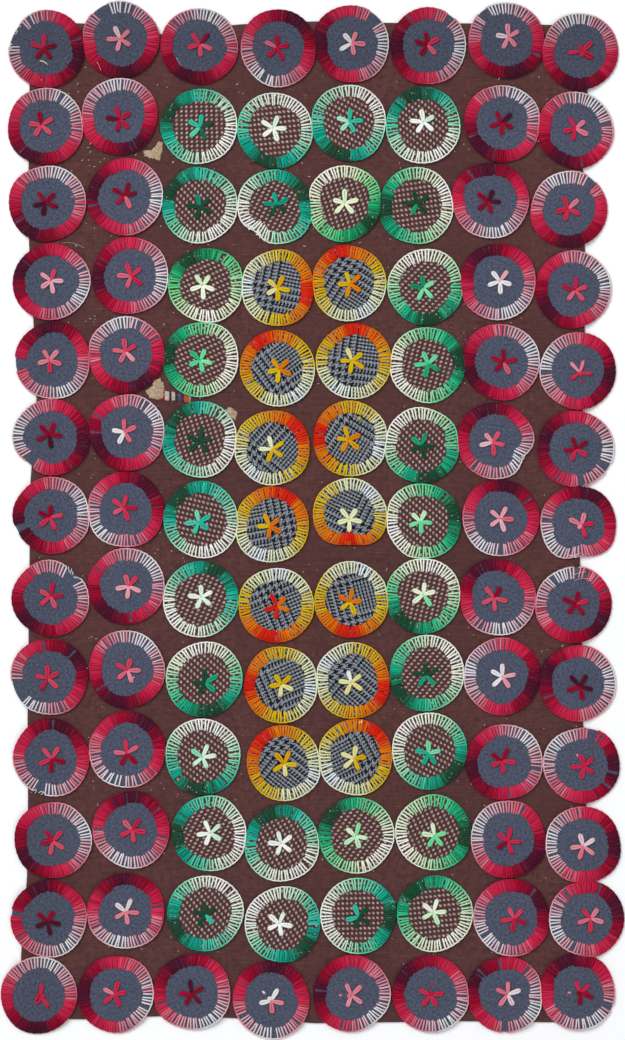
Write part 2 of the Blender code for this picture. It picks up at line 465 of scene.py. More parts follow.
def strand_maps(count, length, sides, first_cell, cells, strip=None):
    """Each strand gets a square cell of the map, its length up the cell and its girth across it. With
    strip, one closed strand is cut into cells of that many spans. The ends take a small square in the
    cell's corner."""
    spans = length if strip else length - 1
    n, k, a = numbered(count, spans, sides)
    cell = first_cell + (k // strip if strip else n)
    up = k % strip if strip else k
    reach = 1 - 3 * MAP_MARGIN
    quads = np.stack([
        np.stack([
            (cell % cells + MAP_MARGIN + reach * (a + da) / sides) / cells,
            (cell // cells + 2 * MAP_MARGIN + reach * (up + dk) / (strip or spans)) / cells,
        ], axis=3)
        for dk, da in QUAD_CORNERS
    ], axis=3).reshape(-1, 2)
    if strip:
        return quads
    turn = directions(sides)
    spot = MAP_MARGIN * (1 + END_SPOT * np.stack([np.cos(turn), np.sin(turn)], axis=1))
    cell = first_cell + np.tile(np.arange(count), 2)
    caps = (np.stack([cell % cells, cell // cells], axis=1)[:, None] + spot * END_SQUEEZE) / cells
    return np.concatenate([quads, caps.reshape(-1, 2)])


print("a map's cell has a margin of", MAP_MARGIN, "of its side")

# %% [markdown]
# Materials are small graphs of nodes. A short helper class keeps them readable: each method adds one node,
# joins its inputs and hands back its output. Patterns that belong to a cloth read the piece's own map,
# which was turned with the wool as it was cut, so no two pennies show their dots or checks the same way up.

# %% A helper for materials
SCREEN_TOE, SCREEN_SLOPE, SCREEN_OFFSET, SCREEN_POWER = 0.04045, 12.92, 0.055, 2.4
SHEEN_ROUGHNESS = 0.5
# Painted shade by the upper and left edges, from and to in metres from the middle, and the least share of
# light left
PAINTED_SHADE_UPPER, UPPER_SHADE = (0.39, 0.46), 0.82
PAINTED_SHADE_LEFT, LEFT_SHADE = (-0.27, -0.22), 0.92


def dyed(red, green, blue):
    """A colour as it looks on a screen, from 0 to 255, turned into an amount of light: its share over the
    slope near black, and above that the share and the offset, brought to the power."""
    share = np.array((red, green, blue)) / 255
    low, high = share / SCREEN_SLOPE, ((share + SCREEN_OFFSET) / (1 + SCREEN_OFFSET)) ** SCREEN_POWER
    return (*np.where(share <= SCREEN_TOE, low, high).tolist(), 1.0)


class Graph:
    """A material's nodes. A value is a number, a colour, or the output of an earlier node."""

    def __init__(self, name, roughness, sheen=0.0, specular=0.3):
        self.material = bpy.data.materials.new(name)
        self.material.use_nodes = True
        self.tree = self.material.node_tree
        self.shader = self.tree.nodes["Principled BSDF"]
        self.shader.inputs["Roughness"].default_value = roughness
        self.shader.inputs["Sheen Weight"].default_value = sheen
        self.shader.inputs["Sheen Roughness"].default_value = SHEEN_ROUGHNESS
        self.shader.inputs["Specular IOR Level"].default_value = specular

    def add(self, kind, output, settings=None, **inputs):
        """An input called i and a number goes by its place, any other by its name."""
        node = self.tree.nodes.new("ShaderNode" + kind)
        for setting, value in (settings or {}).items():
            setattr(node, setting, value)
        for key, value in inputs.items():
            socket = node.inputs[int(key[1:]) if key[1:].isdigit() else key.replace("_", " ")]
            if isinstance(value, bpy.types.NodeSocket):
                self.tree.links.new(value, socket)
            else:
                socket.default_value = value
        return node.outputs[output]

    def math(self, operation, first, second=0.0):
        return self.add("Math", 0, {"operation": operation}, i0=first, i1=second, i2=0.0)

    def plus(self, first, second):
        return self.math("ADD", first, second)

    def minus(self, first, second):
        return self.math("SUBTRACT", first, second)

    def times(self, first, second):
        return self.math("MULTIPLY", first, second)

    def noise(self, place, scale, detail=2.0, roughness=0.5):
        return self.add("TexNoise", 0, Vector=place, Scale=scale, Detail=detail, Roughness=roughness)

    def wander(self, place, scale, reach):
        """A noise as far below nothing as above it, times the reach."""
        return self.times(self.minus(self.noise(place, scale), 0.5), reach)

    def mix(self, share, first, second, blend="MIX"):
        return self.add("Mix", 2, {"data_type": "RGBA", "blend_type": blend}, i0=share, i6=first, i7=second)

    def span(self, value, low, high, least=0.0, most=1.0):
        """Maps low to high onto least to most, clamped."""
        return self.add("MapRange", 0, i0=value, i1=low, i2=high, i3=least, i4=most)

    def ramp(self, value, stops, between="LINEAR"):
        """A run of colours, each at its stop between 0 and 1."""
        node = self.tree.nodes.new("ShaderNodeValToRGB")
        node.color_ramp.interpolation = between
        self.tree.links.new(value, node.inputs[0])
        for _ in stops[2:]:
            node.color_ramp.elements.new(0.5)
        for element, (place, colour) in zip(node.color_ramp.elements, stops):
            element.position = place
            element.color = dyed(*colour)
        return node.outputs[0]

    def map(self, name):
        return self.add("UVMap", 0, {"uv_map": name})

    def mark(self, name):
        return self.add("Attribute", 2, {"attribute_name": name})

    def place(self):
        return self.add("TexCoord", 3)

    def scaled(self, place, x, y, z=1.0):
        return self.add("Mapping", 0, Vector=place, Scale=(x, y, z))

    def split(self, place):
        node = self.tree.nodes.new("ShaderNodeSeparateXYZ")
        self.tree.links.new(place, node.inputs[0])
        return node.outputs[0], node.outputs[1]

    def painted_edge_shade(self, colour):
        """Painted shade: towards the rug's upper and left edges the colour is darkened, to even out the key
        panel's stronger light there.
        """
        x, y = self.split(self.place())
        upper = self.span(y, *PAINTED_SHADE_UPPER, least=1.0, most=UPPER_SHADE)
        left = self.span(x, *PAINTED_SHADE_LEFT, least=LEFT_SHADE, most=1.0)
        return self.mix(1.0, colour, self.times(upper, left), "MULTIPLY")

    def finish(self, colour, height=None, depth=0.0003, strength=0.6):
        """Without a height the surface stays as smooth as its mesh."""
        self.tree.links.new(colour, self.shader.inputs["Base Color"])
        if height is not None:
            bump = self.add("Bump", 0, Height=height, Distance=depth, Strength=strength)
            self.tree.links.new(bump, self.shader.inputs["Normal"])
        return self.material


print("a middle grey on a screen is", round(dyed(128, 128, 128)[0], 3), "of full light")

# %% [markdown]
# The rug has four cloths. The brown backing is a plain weave whose nap has pilled and caught pale lint. The
# border pennies are fulled slate wool: no weave shows, only a mottle of fibres. The next ring is brown
# cloth with rows of pin dots, every second row smaller. The dots are slanted ovals, and the yarns wander a
# little, so that none of the rows is quite straight.

# %% Dye the plain and the dotted cloth
CLOTH_MAP = "Cloth"
COARSE, FINE = 0.6, 0.4
SHADES = {
    "slate_wool": {
        "deep": (40, 48, 67), "pale": (88, 92, 110), "painted_fibre_highlight": (106, 112, 126), "cloud": (58, 60, 80),
    },
    "dotted_brown": {
        "deep": (59, 34, 34), "nap": (85, 52, 51), "dull_dot": (140, 121, 115), "dot": (186, 168, 159),
    },
    "navy_check": {"black": (2, 4, 10), "navy": (14, 18, 27), "grey": (56, 62, 72), "pale": (166, 171, 178)},
    "brown_backing": {
        "deep": (60, 34, 34), "nap": (101, 63, 60), "cloud": (72, 41, 41), "streak": (104, 70, 66),
        "lint": (176, 156, 144),
    },
    "scrap": {"worn": (120, 88, 74)},
    "pale_lint": {"dull": (150, 130, 116), "pale": (236, 228, 220)},
}
FIBRE_STRETCH = 3.2
DOTS_ACROSS, DOTS_ALONG = 0.00502, 0.00435
DOT_SLANT = math.radians(50.0)
DOT_HALF, SMALLER_BY, DOT_EDGE = 1.24, 0.14, 0.25
DOT_LONG, DOT_WIDE = 0.82, 1.12
DOT_WANDER = 0.0010


def shades_of(name):
    """A cloth's shades as amounts of light."""
    return {shade: dyed(*colour) for shade, colour in SHADES[name].items()}


def slate_wool():
    """Deep and pale slate by a mottle, with stretched fibres on top made paler by a painted highlight, and
    slow clouds of a darker shade."""
    g = Graph("slate_wool", roughness=0.95, sheen=0.25, specular=0.15)
    shade = shades_of("slate_wool")
    place = g.map(CLOTH_MAP)
    mottle = g.noise(place, scale=420.0, detail=3.0, roughness=0.65)
    fibres = g.noise(g.scaled(place, 1.0, FIBRE_STRETCH), scale=900.0, detail=2.0, roughness=0.7)
    cloud = g.noise(place, scale=28.0, detail=2.0)
    colour = g.mix(g.span(mottle, 0.3, 0.7), shade["deep"], shade["pale"])
    # Painted highlight: stretched surface fibres are lightened as if they caught the light.
    colour = g.mix(g.span(fibres, 0.55, 0.8), colour, shade["painted_fibre_highlight"])
    colour = g.mix(g.span(cloud, 0.35, 0.65, most=0.16), colour, shade["cloud"])
    height = g.plus(g.times(mottle, COARSE), g.times(fibres, FINE))
    # The colour gets painted shade towards the rug's upper and left edges.
    return g.finish(g.painted_edge_shade(colour), height, depth=0.00022)


def dotted_brown():
    """A place is split into its cell of the grid of dots and its offset from the cell's middle in
    millimetres. A dot is where the slanted oval distance, the root of the two squares, is less than the
    dot's half size."""
    g = Graph("dotted_brown", roughness=0.92, sheen=0.15, specular=0.2)
    shade = shades_of("dotted_brown")
    place = g.map(CLOTH_MAP)
    x, y = g.split(place)
    wander = g.wander(place, scale=220.0, reach=DOT_WANDER)
    across = g.math("DIVIDE", g.plus(x, wander), DOTS_ACROSS)
    along = g.math("DIVIDE", g.minus(y, wander), DOTS_ALONG)
    odd = g.math("MODULO", g.math("ABSOLUTE", g.math("FLOOR", across)), 2.0)
    off_x = g.times(g.minus(g.math("FRACT", across), 0.5), DOTS_ACROSS / MM)
    off_y = g.times(g.minus(g.math("FRACT", along), 0.5), DOTS_ALONG / MM)
    cos, sin = math.cos(DOT_SLANT), math.sin(DOT_SLANT)
    long = g.plus(g.times(off_x, -DOT_LONG * cos), g.times(off_y, DOT_LONG * sin))
    wide = g.plus(g.times(off_x, DOT_WIDE * sin), g.times(off_y, DOT_WIDE * cos))
    away = g.math("SQRT", g.plus(g.times(long, long), g.times(wide, wide)))
    size = g.minus(DOT_HALF, g.times(odd, SMALLER_BY))
    dot = g.span(g.minus(size, away), -DOT_EDGE, DOT_EDGE)
    dot = g.times(dot, g.span(g.noise(place, scale=330.0, detail=1.0), 0.22, 0.45, least=0.45))
    mottle = g.noise(place, scale=420.0, detail=3.0)
    ground = g.mix(g.span(mottle, 0.3, 0.7), shade["deep"], shade["nap"])
    pale = g.mix(g.span(mottle, 0.35, 0.65), shade["dull_dot"], shade["dot"])
    height = g.plus(g.times(dot, COARSE), g.times(mottle, FINE))
    return g.finish(g.mix(dot, ground, pale), height)


def plain_weave(g, place, yarn):
    """Warp and weft: a sine across and a sine along, with one wave for each yarn."""
    return [g.math("SINE", g.times(axis, TURN / yarn)) for axis in g.split(place)]


def brown_backing():
    """Deep brown and nap by a fine noise, then clouds, streaks along the weft, and specks of caught
    lint."""
    g = Graph("brown_backing", roughness=0.96, sheen=0.2, specular=0.12)
    shade = shades_of("brown_backing")
    place = g.place()
    cloud = g.noise(place, scale=9.0, detail=3.0)
    nap = g.noise(place, scale=240.0, detail=5.0, roughness=0.7)
    streak = g.noise(g.scaled(place, 26.0, 900.0), scale=1.0, detail=2.0)
    weave = g.times(g.plus(*plain_weave(g, place, yarn=0.0011)), 0.25)
    colour = g.mix(g.span(nap, 0.3, 0.7), shade["deep"], shade["nap"])
    colour = g.mix(g.span(cloud, 0.3, 0.7, most=0.7), colour, shade["cloud"])
    colour = g.mix(g.span(streak, 0.45, 0.75, most=0.4), colour, shade["streak"])
    specks = g.add("TexVoronoi", 0, Vector=place, Scale=260.0, Randomness=1.0)
    picked = g.span(g.noise(place, scale=75.0, detail=1.0), 0.66, 0.70)
    colour = g.mix(g.times(g.span(specks, 0.18, 0.10), picked), colour, shade["lint"])
    return g.finish(colour, g.plus(g.times(nap, 0.8), weave))


CLOTHS = {"brown_backing": brown_backing(), "slate_wool": slate_wool(), "dotted_brown": dotted_brown()}
print("cloths:", ", ".join(CLOTHS))

# %% [markdown]
# The middle pennies are a glen check, an old tailoring cloth: yarns go in fours of light and dark, then in
# twos, both ways, and a twill lets two warp yarns and two weft yarns come up by turns. A drawn pattern
# would have to show every tooth.

# %% Weave the check
YARN = 0.00087
FOUR_BAND, TWO_BAND = 32, 32
TWILL = 4
YARN_WANDER = 0.0008


def yarn_is_light(g, number):
    """In the first band yarns change every four, in the second every two."""
    share = g.math("FLOORED_MODULO", number, float(FOUR_BAND + TWO_BAND))
    by_four = g.math("GREATER_THAN", g.math("FLOORED_MODULO", number, 8.0), 3.5)
    by_two = g.math("GREATER_THAN", g.math("FLOORED_MODULO", number, 4.0), 1.5)
    second = g.math("GREATER_THAN", share, FOUR_BAND - 0.5)
    return g.plus(g.times(by_four, g.minus(1.0, second)), g.times(by_two, second))


def navy_check():
    """Warp and weft yarns are numbered by their place over the yarn's width. The warp is up where the sum
    of both numbers leaves 0 or 1 when it is divided by four, and the yarn that is up gives the colour."""
    g = Graph("navy_check", roughness=0.9, sheen=0.15, specular=0.2)
    shade = shades_of("navy_check")
    place = g.map(CLOTH_MAP)
    x, y = g.split(place)
    wander = g.wander(place, scale=90.0, reach=YARN_WANDER)
    x, y = g.math("DIVIDE", g.plus(x, wander), YARN), g.math("DIVIDE", g.minus(y, wander), YARN)
    warp, weft = g.math("FLOOR", x), g.math("FLOOR", y)
    warp_up = g.math("LESS_THAN", g.math("FLOORED_MODULO", g.plus(warp, weft), float(TWILL)), 1.5)
    light_warp, light_weft = yarn_is_light(g, warp), yarn_is_light(g, weft)
    light = g.plus(g.times(warp_up, light_warp), g.times(g.minus(1.0, warp_up), light_weft))
    fuzz = g.noise(place, scale=600.0, detail=3.0, roughness=0.6)
    dark = g.mix(g.span(fuzz, 0.3, 0.7), shade["black"], shade["navy"])
    pale = g.mix(g.span(fuzz, 0.3, 0.7), shade["grey"], shade["pale"])
    ridge = g.math("PINGPONG", g.plus(x, y), 0.5)
    return g.finish(g.mix(light, dark, pale), g.plus(ridge, g.times(fuzz, FINE)), depth=0.00025)


CLOTHS["navy_check"] = navy_check()
print("the check repeats every", round((FOUR_BAND + TWO_BAND) * YARN / MM, 1), "mm")

# %% [markdown]
# Small scraps of thinner cloth show in three places between the pennies, one of them striped. Their weave
# is open, and their colours have worn towards the brown of the backing. The lint is a pale fluff without
# any weave.

# %% Dye the scraps and the lint
CREAM = ((0.0, (198, 180, 150)), (0.5, (190, 168, 138)))
STRIPES = (
    (0.00, (142, 40, 42)), (0.12, (206, 196, 180)), (0.26, (34, 34, 48)), (0.34, (206, 196, 180)),
    (0.46, (34, 34, 48)), (0.56, (60, 72, 120)), (0.66, (34, 34, 48)), (0.76, (190, 84, 50)),
    (0.94, (206, 196, 180)),
)


def scrap_cloth(name, stops):
    """A thin plain weave. Its map runs from 0 to 1 along the scrap, so stripes are placed as shares of
    it."""
    g = Graph(name, roughness=0.95, specular=0.1)
    place = g.place()
    weave = g.times(*plain_weave(g, place, yarn=0.0014))
    along, _ = g.split(g.map(CLOTH_MAP))
    base = g.ramp(along, stops, "CONSTANT")
    wear = g.span(g.noise(place, scale=420.0, detail=3.0), 0.35, 0.7, most=0.6)
    worn = g.mix(wear, base, shades_of("scrap")["worn"])
    # Painted shade between the yarns: the colour is darkened where the weave dips.
    colour = g.mix(1.0, worn, g.span(weave, -1.0, 0.4, least=0.72), "MULTIPLY")
    return g.finish(colour, weave, depth=0.0002)


def pale_lint():
    """Dull and pale by one noise."""
    g = Graph("pale_lint", roughness=0.95, specular=0.1)
    shade = shades_of("pale_lint")
    return g.finish(g.mix(g.noise(g.place(), scale=60.0), shade["dull"], shade["pale"]))


CLOTHS["cream_scrap"] = scrap_cloth("cream_scrap", CREAM)
CLOTHS["striped_scrap"] = scrap_cloth("striped_scrap", STRIPES)
CLOTHS["pale_lint"] = pale_lint()
print("all cloths:", ", ".join(CLOTHS))

# %% [markdown]
# The thread is dip-dyed: along one length it runs from near white through two or three middle shades to its
# darkest and back again. One round of a penny uses about one such run, so each rim has a pale side and a
# dark side. Every point of a thread carries a mark called dye, from 0 at the palest to 1 at the darkest,
# and three ramps turn that mark into the reds, greens and golds. The ply of the thread is a slanted ripple
# along a map of its own.

# %% Dye the three threads
THREAD_MAP = "Thread"
PLY_TURN, PLY_SLANT = 0.0016, 2.0
GROOVE_SHADE = 0.84
DYE_SPECKLE = 0.08
DYES = {
    "red_thread": (
        (0.00, (232, 228, 230)), (0.12, (228, 202, 208)), (0.24, (230, 154, 164)), (0.36, (222, 122, 140)),
        (0.46, (210, 50, 82)), (0.62, (192, 30, 68)), (0.76, (154, 5, 42)), (0.90, (90, 14, 42)),
        (1.00, (76, 17, 41)),
    ),
    "green_thread": (
        (0.00, (248, 248, 246)), (0.22, (232, 242, 226)), (0.34, (206, 238, 217)), (0.46, (138, 223, 186)),
        (0.58, (88, 210, 176)), (0.72, (8, 178, 156)), (0.84, (22, 130, 104)), (0.92, (36, 67, 48)),
        (1.00, (30, 76, 56)),
    ),
    "gold_thread": (
        (0.00, (233, 240, 240)), (0.16, (230, 231, 188)), (0.28, (232, 234, 180)), (0.42, (222, 190, 38)),
        (0.54, (216, 181, 6)), (0.68, (220, 125, 5)), (0.80, (217, 114, 5)), (0.90, (212, 48, 10)),
        (1.00, (206, 27, 14)),
    ),
}
LEAF_DYE = (
    (0.00, (248, 249, 240)), (0.22, (234, 243, 208)), (0.34, (208, 240, 190)), (0.46, (146, 228, 154)),
    (0.58, (98, 218, 138)), (0.72, (40, 184, 112)), (0.84, (26, 126, 82)), (0.92, (30, 74, 48)),
    (1.00, (26, 70, 48)),
)


def thread(name, stops, other=None):
    """With a second row of shades, the mark called leaf says how much of it is in the thread."""
    g = Graph(name, roughness=0.7, specular=0.08)
    along, around = g.split(g.map(THREAD_MAP))
    dye = g.plus(g.mark("dye"), g.wander(g.map(THREAD_MAP), scale=60.0, reach=DYE_SPECKLE))
    colour = g.ramp(dye, stops)
    if other:
        colour = g.mix(g.mark("leaf"), colour, g.ramp(dye, other))
    ply = g.math("SINE", g.times(g.plus(along, g.times(around, PLY_SLANT)), TURN))
    # Painted shade in the ply's grooves: the colour is darkened where the twist sinks in.
    painted_groove_shade = g.span(ply, -1.0, -0.3, least=GROOVE_SHADE)
    colour = g.mix(1.0, colour, painted_groove_shade, "MULTIPLY")
    # The colour gets painted shade towards the rug's upper and left edges.
    return g.finish(g.painted_edge_shade(colour), ply, depth=0.0002)


THREADS = {
    "red_thread": thread("red_thread", DYES["red_thread"]),
    "green_thread": thread("green_thread", DYES["green_thread"], LEAF_DYE),
    "gold_thread": thread("gold_thread", DYES["gold_thread"]),
}
print("threads:", ", ".join(THREADS))

# %% [markdown]
# How each penny was sewn is charted, a line or two for each row of the rug and one entry for each penny. An
# entry gives the clock hours at which the palest and the darkest thread sit on the rim, the hour at which the
# star's first petal points, and how far the star's middle lies to the right and down, in millimetres. The
# last number has three digits: a dye in ninths, how many petals have it, clockwise from the first, and the
# dye of the others. What isn't charted, such as the length of a stitch, is left to a seeded hand that wavers
# a little.

# %% The sewing chart
SEWING_FIELDS = ("pale", "dark", "first", "right", "down", "tones")
SEWING = {
    1: "9.8 3.6 2.4 -2.5 -0.5 735, 11.8 5.6 11.3 0 0 113, 0.6 6.8 3.6 1 -1.5 447, 7 1.2 9.7 -1.5 0 416, "
       "3 9 8 0.5 0 023, 3.2 9 2.1 -1 -1 427, 11.6 5.4 11.7 2 -3 341, 11.6 6.4 8.9 2 0 556",
    2: "1.2 7 2.1 -4 -1 447, 11.8 5 9 0 3 816, 4 10 2.6 1 1 826, 1.4 6.4 2.9 -1.5 -2 143, "
       "1.8 6.4 7.4 0.5 -1 426, 5.4 11.4 2.2 0.5 -3 310, 1 7.6 3.8 -1 -0.5 749, 1.4 6.8 6.4 0 -1 533",
    3: "0.8 7.2 6.1 -2 -0.5 927, 3 9.6 5.1 0 -1 417, 5 10 11.5 0.5 1 719, 8.2 2 4.5 1.5 -1.5 927, "
       "11 4.2 2.5 0.5 0 243, 2.2 9 6.6 0.5 -2 719, 5.6 11.8 5.5 -2 1 739, 11.2 6 3.9 -1 -0.5 543",
    4: "3.8 9.8 3.2 0 -1 244, 3.4 8.8 4.2 1 0.5 614, 6 10.8 3.7 -3.5 0.5 133, 9 3.4 8.1 -0.5 0.5 325, "
       "5 11.4 9 1 1 526, 11.4 5.8 2.2 -2 1 537, 5.2 11 3.5 2 -0.5 042, 2.4 7.6 2.4 2 1 436",
    5: "5.2 11.8 8.5 -3 0 334, 11.6 5 4.5 -0.5 -3 214, 3.2 9.4 10.6 -0.5 1 615, 4.8 11 6.2 1.5 1 537, "
       "7 0 11.2 -2 -0.5 315, 8.2 2.8 3.9 1 -1 725, 2.2 8.2 4.9 2 0.5 417, 9.6 3.4 10.4 1.5 2 325",
    6: "9.2 3.4 5.7 -2 -2 917, 2 8 7.1 -2.5 0 023, 3.4 10.6 2.7 0 1.5 939, 7.2 1.8 1.9 0 1.5 532, "
       "3.6 9.2 2.1 -2 1 635, 10.4 5.6 3.3 -0.5 0 937, 4.2 11.6 8.4 -2 2 224, 3.2 9.8 4.2 0.5 0.5 527",
    7: "2.4 8.2 2.7 -1.5 2 437, 7.8 1.4 3 -2 -2 614, 5.4 10.4 1.8 -2.5 2.5 644, 6.8 0.8 8.8 -1.5 1.5 527, "
       "1.6 5.8 5.9 -0.5 6.3 253, 8.6 2.6 3.4 -3 0.5 533, 7.2 0.4 3.2 -0.5 1 412, 8 0.6 2.8 3.2 1.4 523",
    8: "1.5 7.6 5.1 0 -2.5 436, 1.6 7.2 4 2.5 0 234, 7.8 0.8 2.1 1 -2 112, 0.2 6.4 6.2 1 1 937, "
       "0.8 6 5.2 -1.5 2 527, 0.6 7.2 5.1 0.5 -1.5 412, 5.8 10.8 3.5 -3.5 0.5 447, 11.2 4 2.6 2 -1 517",
    9: "7.2 1.8 7 -1.5 1.5 614, 1.2 6.6 3 1 1 324, 11.6 5.6 2.1 1 3.5 729, 3.2 9 3.8 0.5 0 325, "
       "10.2 3.6 1.9 -1.5 1.5 340, 1.8 7.8 4.6 -1 2 729, 9.4 3.6 2.6 0.5 0.5 220, 2.6 9.8 5.8 2 3 729",
    10: "6.4 0.6 3.5 0.5 1 724, 6.8 1.2 4.5 -0.5 3.5 724, 0.2 6.4 10.1 0 0.5 413, 3.8 10.6 5.7 0.5 0.5 315, "
        "7.6 1.2 2.7 -1.5 1 523, 10.6 4.4 4.7 -0.5 2.5 735, 1.4 8.8 3.1 -2.5 -1.5 537, 10.4 3 1.7 2 1.5 554",
    11: "2.4 7.8 8.7 0 1 624, 6.6 0 3.4 1 0.5 446, 3.4 8.8 6.6 1 -0.5 133, 5 11.2 1.9 -0.5 0 142, "
        "4 10.4 3.1 -0.5 1 344, 8.2 3.2 2.3 1 3 533, 9.8 4.4 7.8 -0.5 2 715, 9.4 3 4.1 0 1 331",
    12: "4.8 11.4 3.3 -1 2.5 937, 6.6 11.6 3.2 0 0.5 331, 1 8.2 4.6 0 1 619, 10.2 4.6 3.2 -3.5 -0.5 042, "
        "8.8 3.2 8.7 0.5 1 629, 5.2 10.6 3 -1.5 -1.5 331, 7.6 2 3.8 2.5 1 624, 8.4 2.2 5.9 4 -0.5 433",
    13: "0.6 6.2 4.9 2 1 556, 3.6 9.2 10 -1 0 315, 5 11 2 -0.5 1 749, 6.2 0.2 8.4 0 0.5 033, "
        "4.4 9 8.9 0 1.5 354, 5 10.2 0.3 -0.5 1 555, 3.8 10 2.5 2.5 -0.5 123, 5 11.4 11.1 3 0.5 527",
}
SEED = 104
PETALS = 5
for row, line in SEWING.items():
    for column, entry in enumerate(line.split(","), start=1):
        penny = pennies[row, column]
        penny.update(zip(SEWING_FIELDS, (float(value) for value in entry.split())))
        tone, many, other = (int(digit) for digit in f"{penny['tones']:03.0f}")
        penny["tones"] = np.where(np.arange(PETALS) < many, tone, other) / 9
        penny["shake"] = np.random.default_rng((SEED, row, column))
print(sum(line.count(",") + 1 for line in SEWING.values()), "pennies charted")

# %% [markdown]
# The pennies of patterned cloth were cut out every way up, and their dots and checks show how. The last
# number is how leafy the green thread is, in tenths, because some rims are sea green and some are grass
# green. It covers columns three to six of rows two to twelve.

# %% The chart of cut cloth
LAY_FIELDS = ("turn", "warp", "weft", "leaf")
FIRST_PATTERNED_COLUMN = 3
LAYS = {
    2: "1 0 0 1, 96 0 0 0, 60 0 0 0, 52 0 0 1",
    3: "42 0 0 1, 152 0 0 1, 18 0 0 9, 98 0 0 5",
    4: "115 0 0 9, 348 0 28 0, 328 5 6 0, 133 0 0 5",
    5: "115 0 0 7, 216 27 53 0, 352 3 29 0, 165 0 0 6",
    6: "18 0 0 0, 229 40 26 0, 58 38 54 0, 42 0 0 5",
    7: "76 0 0 0, 11 25 20 0, 154 63 61 0, 50 0 0 6",
    8: "156 0 0 0, 23 15 57 0, 285 47 26 0, 166 0 0 6",
    9: "48 0 0 4, 204 37 51 0, 320 60 15 0, 141 0 0 4",
    10: "53 0 0 1, 322 61 5 0, 208 63 54 0, 61 0 0 3",
    11: "151 0 0 0, 31 0 0 0, 145 0 0 7, 26 0 0 7",
    12: "38 0 0 0, 33 0 0 0, 91 0 0 1, 96 0 0 6",
}
for row, line in LAYS.items():
    for column, entry in enumerate(line.split(","), start=FIRST_PATTERNED_COLUMN):
        pennies[row, column]["lay"] = dict(zip(LAY_FIELDS, (float(value) for value in entry.split())))
print(len(LAYS), "rows have patterned cloth")

# %% [markdown]
# Each penny is one thick disc of wool. Its rim is the cut edge, drawn in a little so that the thread which
# wraps it ends where the solid does. The disc is highest in the middle and pressed down by the stitches
# near its rim, and its edge lifts a little here and there, never below what it lies on.

# %% Cut the pennies
THREAD_REACH = 0.0011
LIFT = 0.0007
FARTHEST_LIFTED = 1.2
PATTERN_SHIFT = 0.3


def cloth_of(row, column):
    """Slate wool two pennies deep at the sides and one at the ends, then dots, then checks."""
    if row in (1, ROWS) or column in (1, 2, COLUMNS - 1, COLUMNS):
        return "slate_wool"
    if row in (2, 3, ROWS - 2, ROWS - 1) or column in (3, COLUMNS - 2):
        return "dotted_brown"
    return "navy_check"


def lift_of(penny, x, y):
    """How much the wool rises towards its rim: two slow waves round the penny, growing with the cube of the
    way out, less what it sinks past the brown cloth's edge."""
    away, angles = seen_from(penny["middle"], x, y)
    share = np.clip(away / rim_at(penny, angles), 0.0, FARTHEST_LIFTED)
    waves = (2 + np.cos(2 * angles + penny["waves"][0]) + np.cos(3 * angles + penny["waves"][1])) / 4
    return LIFT * waves * share**3 + sink(x, y)


def cloth_places(penny, places):
    """The cloth under a penny: places from its middle, turned and mirrored, plus the yarns that cross
    there. Plain wool is turned and shifted at random."""
    shake = penny["shake"]
    lay = penny.get("lay") or {"turn": shake.uniform(0.0, 360.0)}
    cos, sin = math.cos(math.radians(lay["turn"])), math.sin(math.radians(lay["turn"]))
    turned = (places - penny["middle"]) @ np.array(((-cos, -sin), (-sin, cos)))
    if "lay" in penny:
        turned += (lay["warp"] * YARN, lay["weft"] * YARN)
    else:
        turned += shake.uniform(0.0, PATTERN_SHIFT, 2)
    return turned


def cut_penny(place):
    """A disc in the penny's own outline, lifted at its rim, with a map of its own and one of its cloth."""
    row, column = place
    penny = pennies[place]
    penny["waves"] = penny["shake"].uniform(0.0, TURN, 2)
    radii = rim_at(penny, directions(DISC_STEPS)) - THREAD_REACH
    points, faces = disc((penny["middle"], radii), DISC_PROFILE, WOOL_TOP - WOOL_BOTTOM, WOOL_BOTTOM)
    points[:, 2] += lift_of(penny, points[:, 0], points[:, 1])
    own = disc_map(points, faces, penny["middle"], radii.max(), DISC_PROFILE, DISC_STEPS)
    turned = cloth_places(penny, points[:, :2])
    cloth = np.concatenate([turned[part].reshape(-1, 2) for part in faces])
    kind = cloth_of(row, column)
    piece = put_together(
        f"penny_r{row:02d}_c{column}", points, faces, CLOTHS[kind], {OWN_MAP: own, CLOTH_MAP: cloth},
    )
    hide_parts(penny["node"])
    penny["piece"], penny["kind"] = piece, kind
    penny["flat"] = (2 * radii.mean(), 2 * radii.mean())
    penny["area"] = area_of(radii)


for place in pennies:
    cut_penny(place)
print("cut", len(pennies), "pennies of", len(pennies[1, 1]["piece"].data.polygons), "faces")

# %% [markdown]
# The dye of a rim follows from its two charted hours. The sewer's yarn was dyed in dips, so the shade goes
# on in steps more than evenly. Where the dye is dark the stitches were packed until they covered the wool,
# much sooner in red than in green or gold. Some rims have lost stitches.

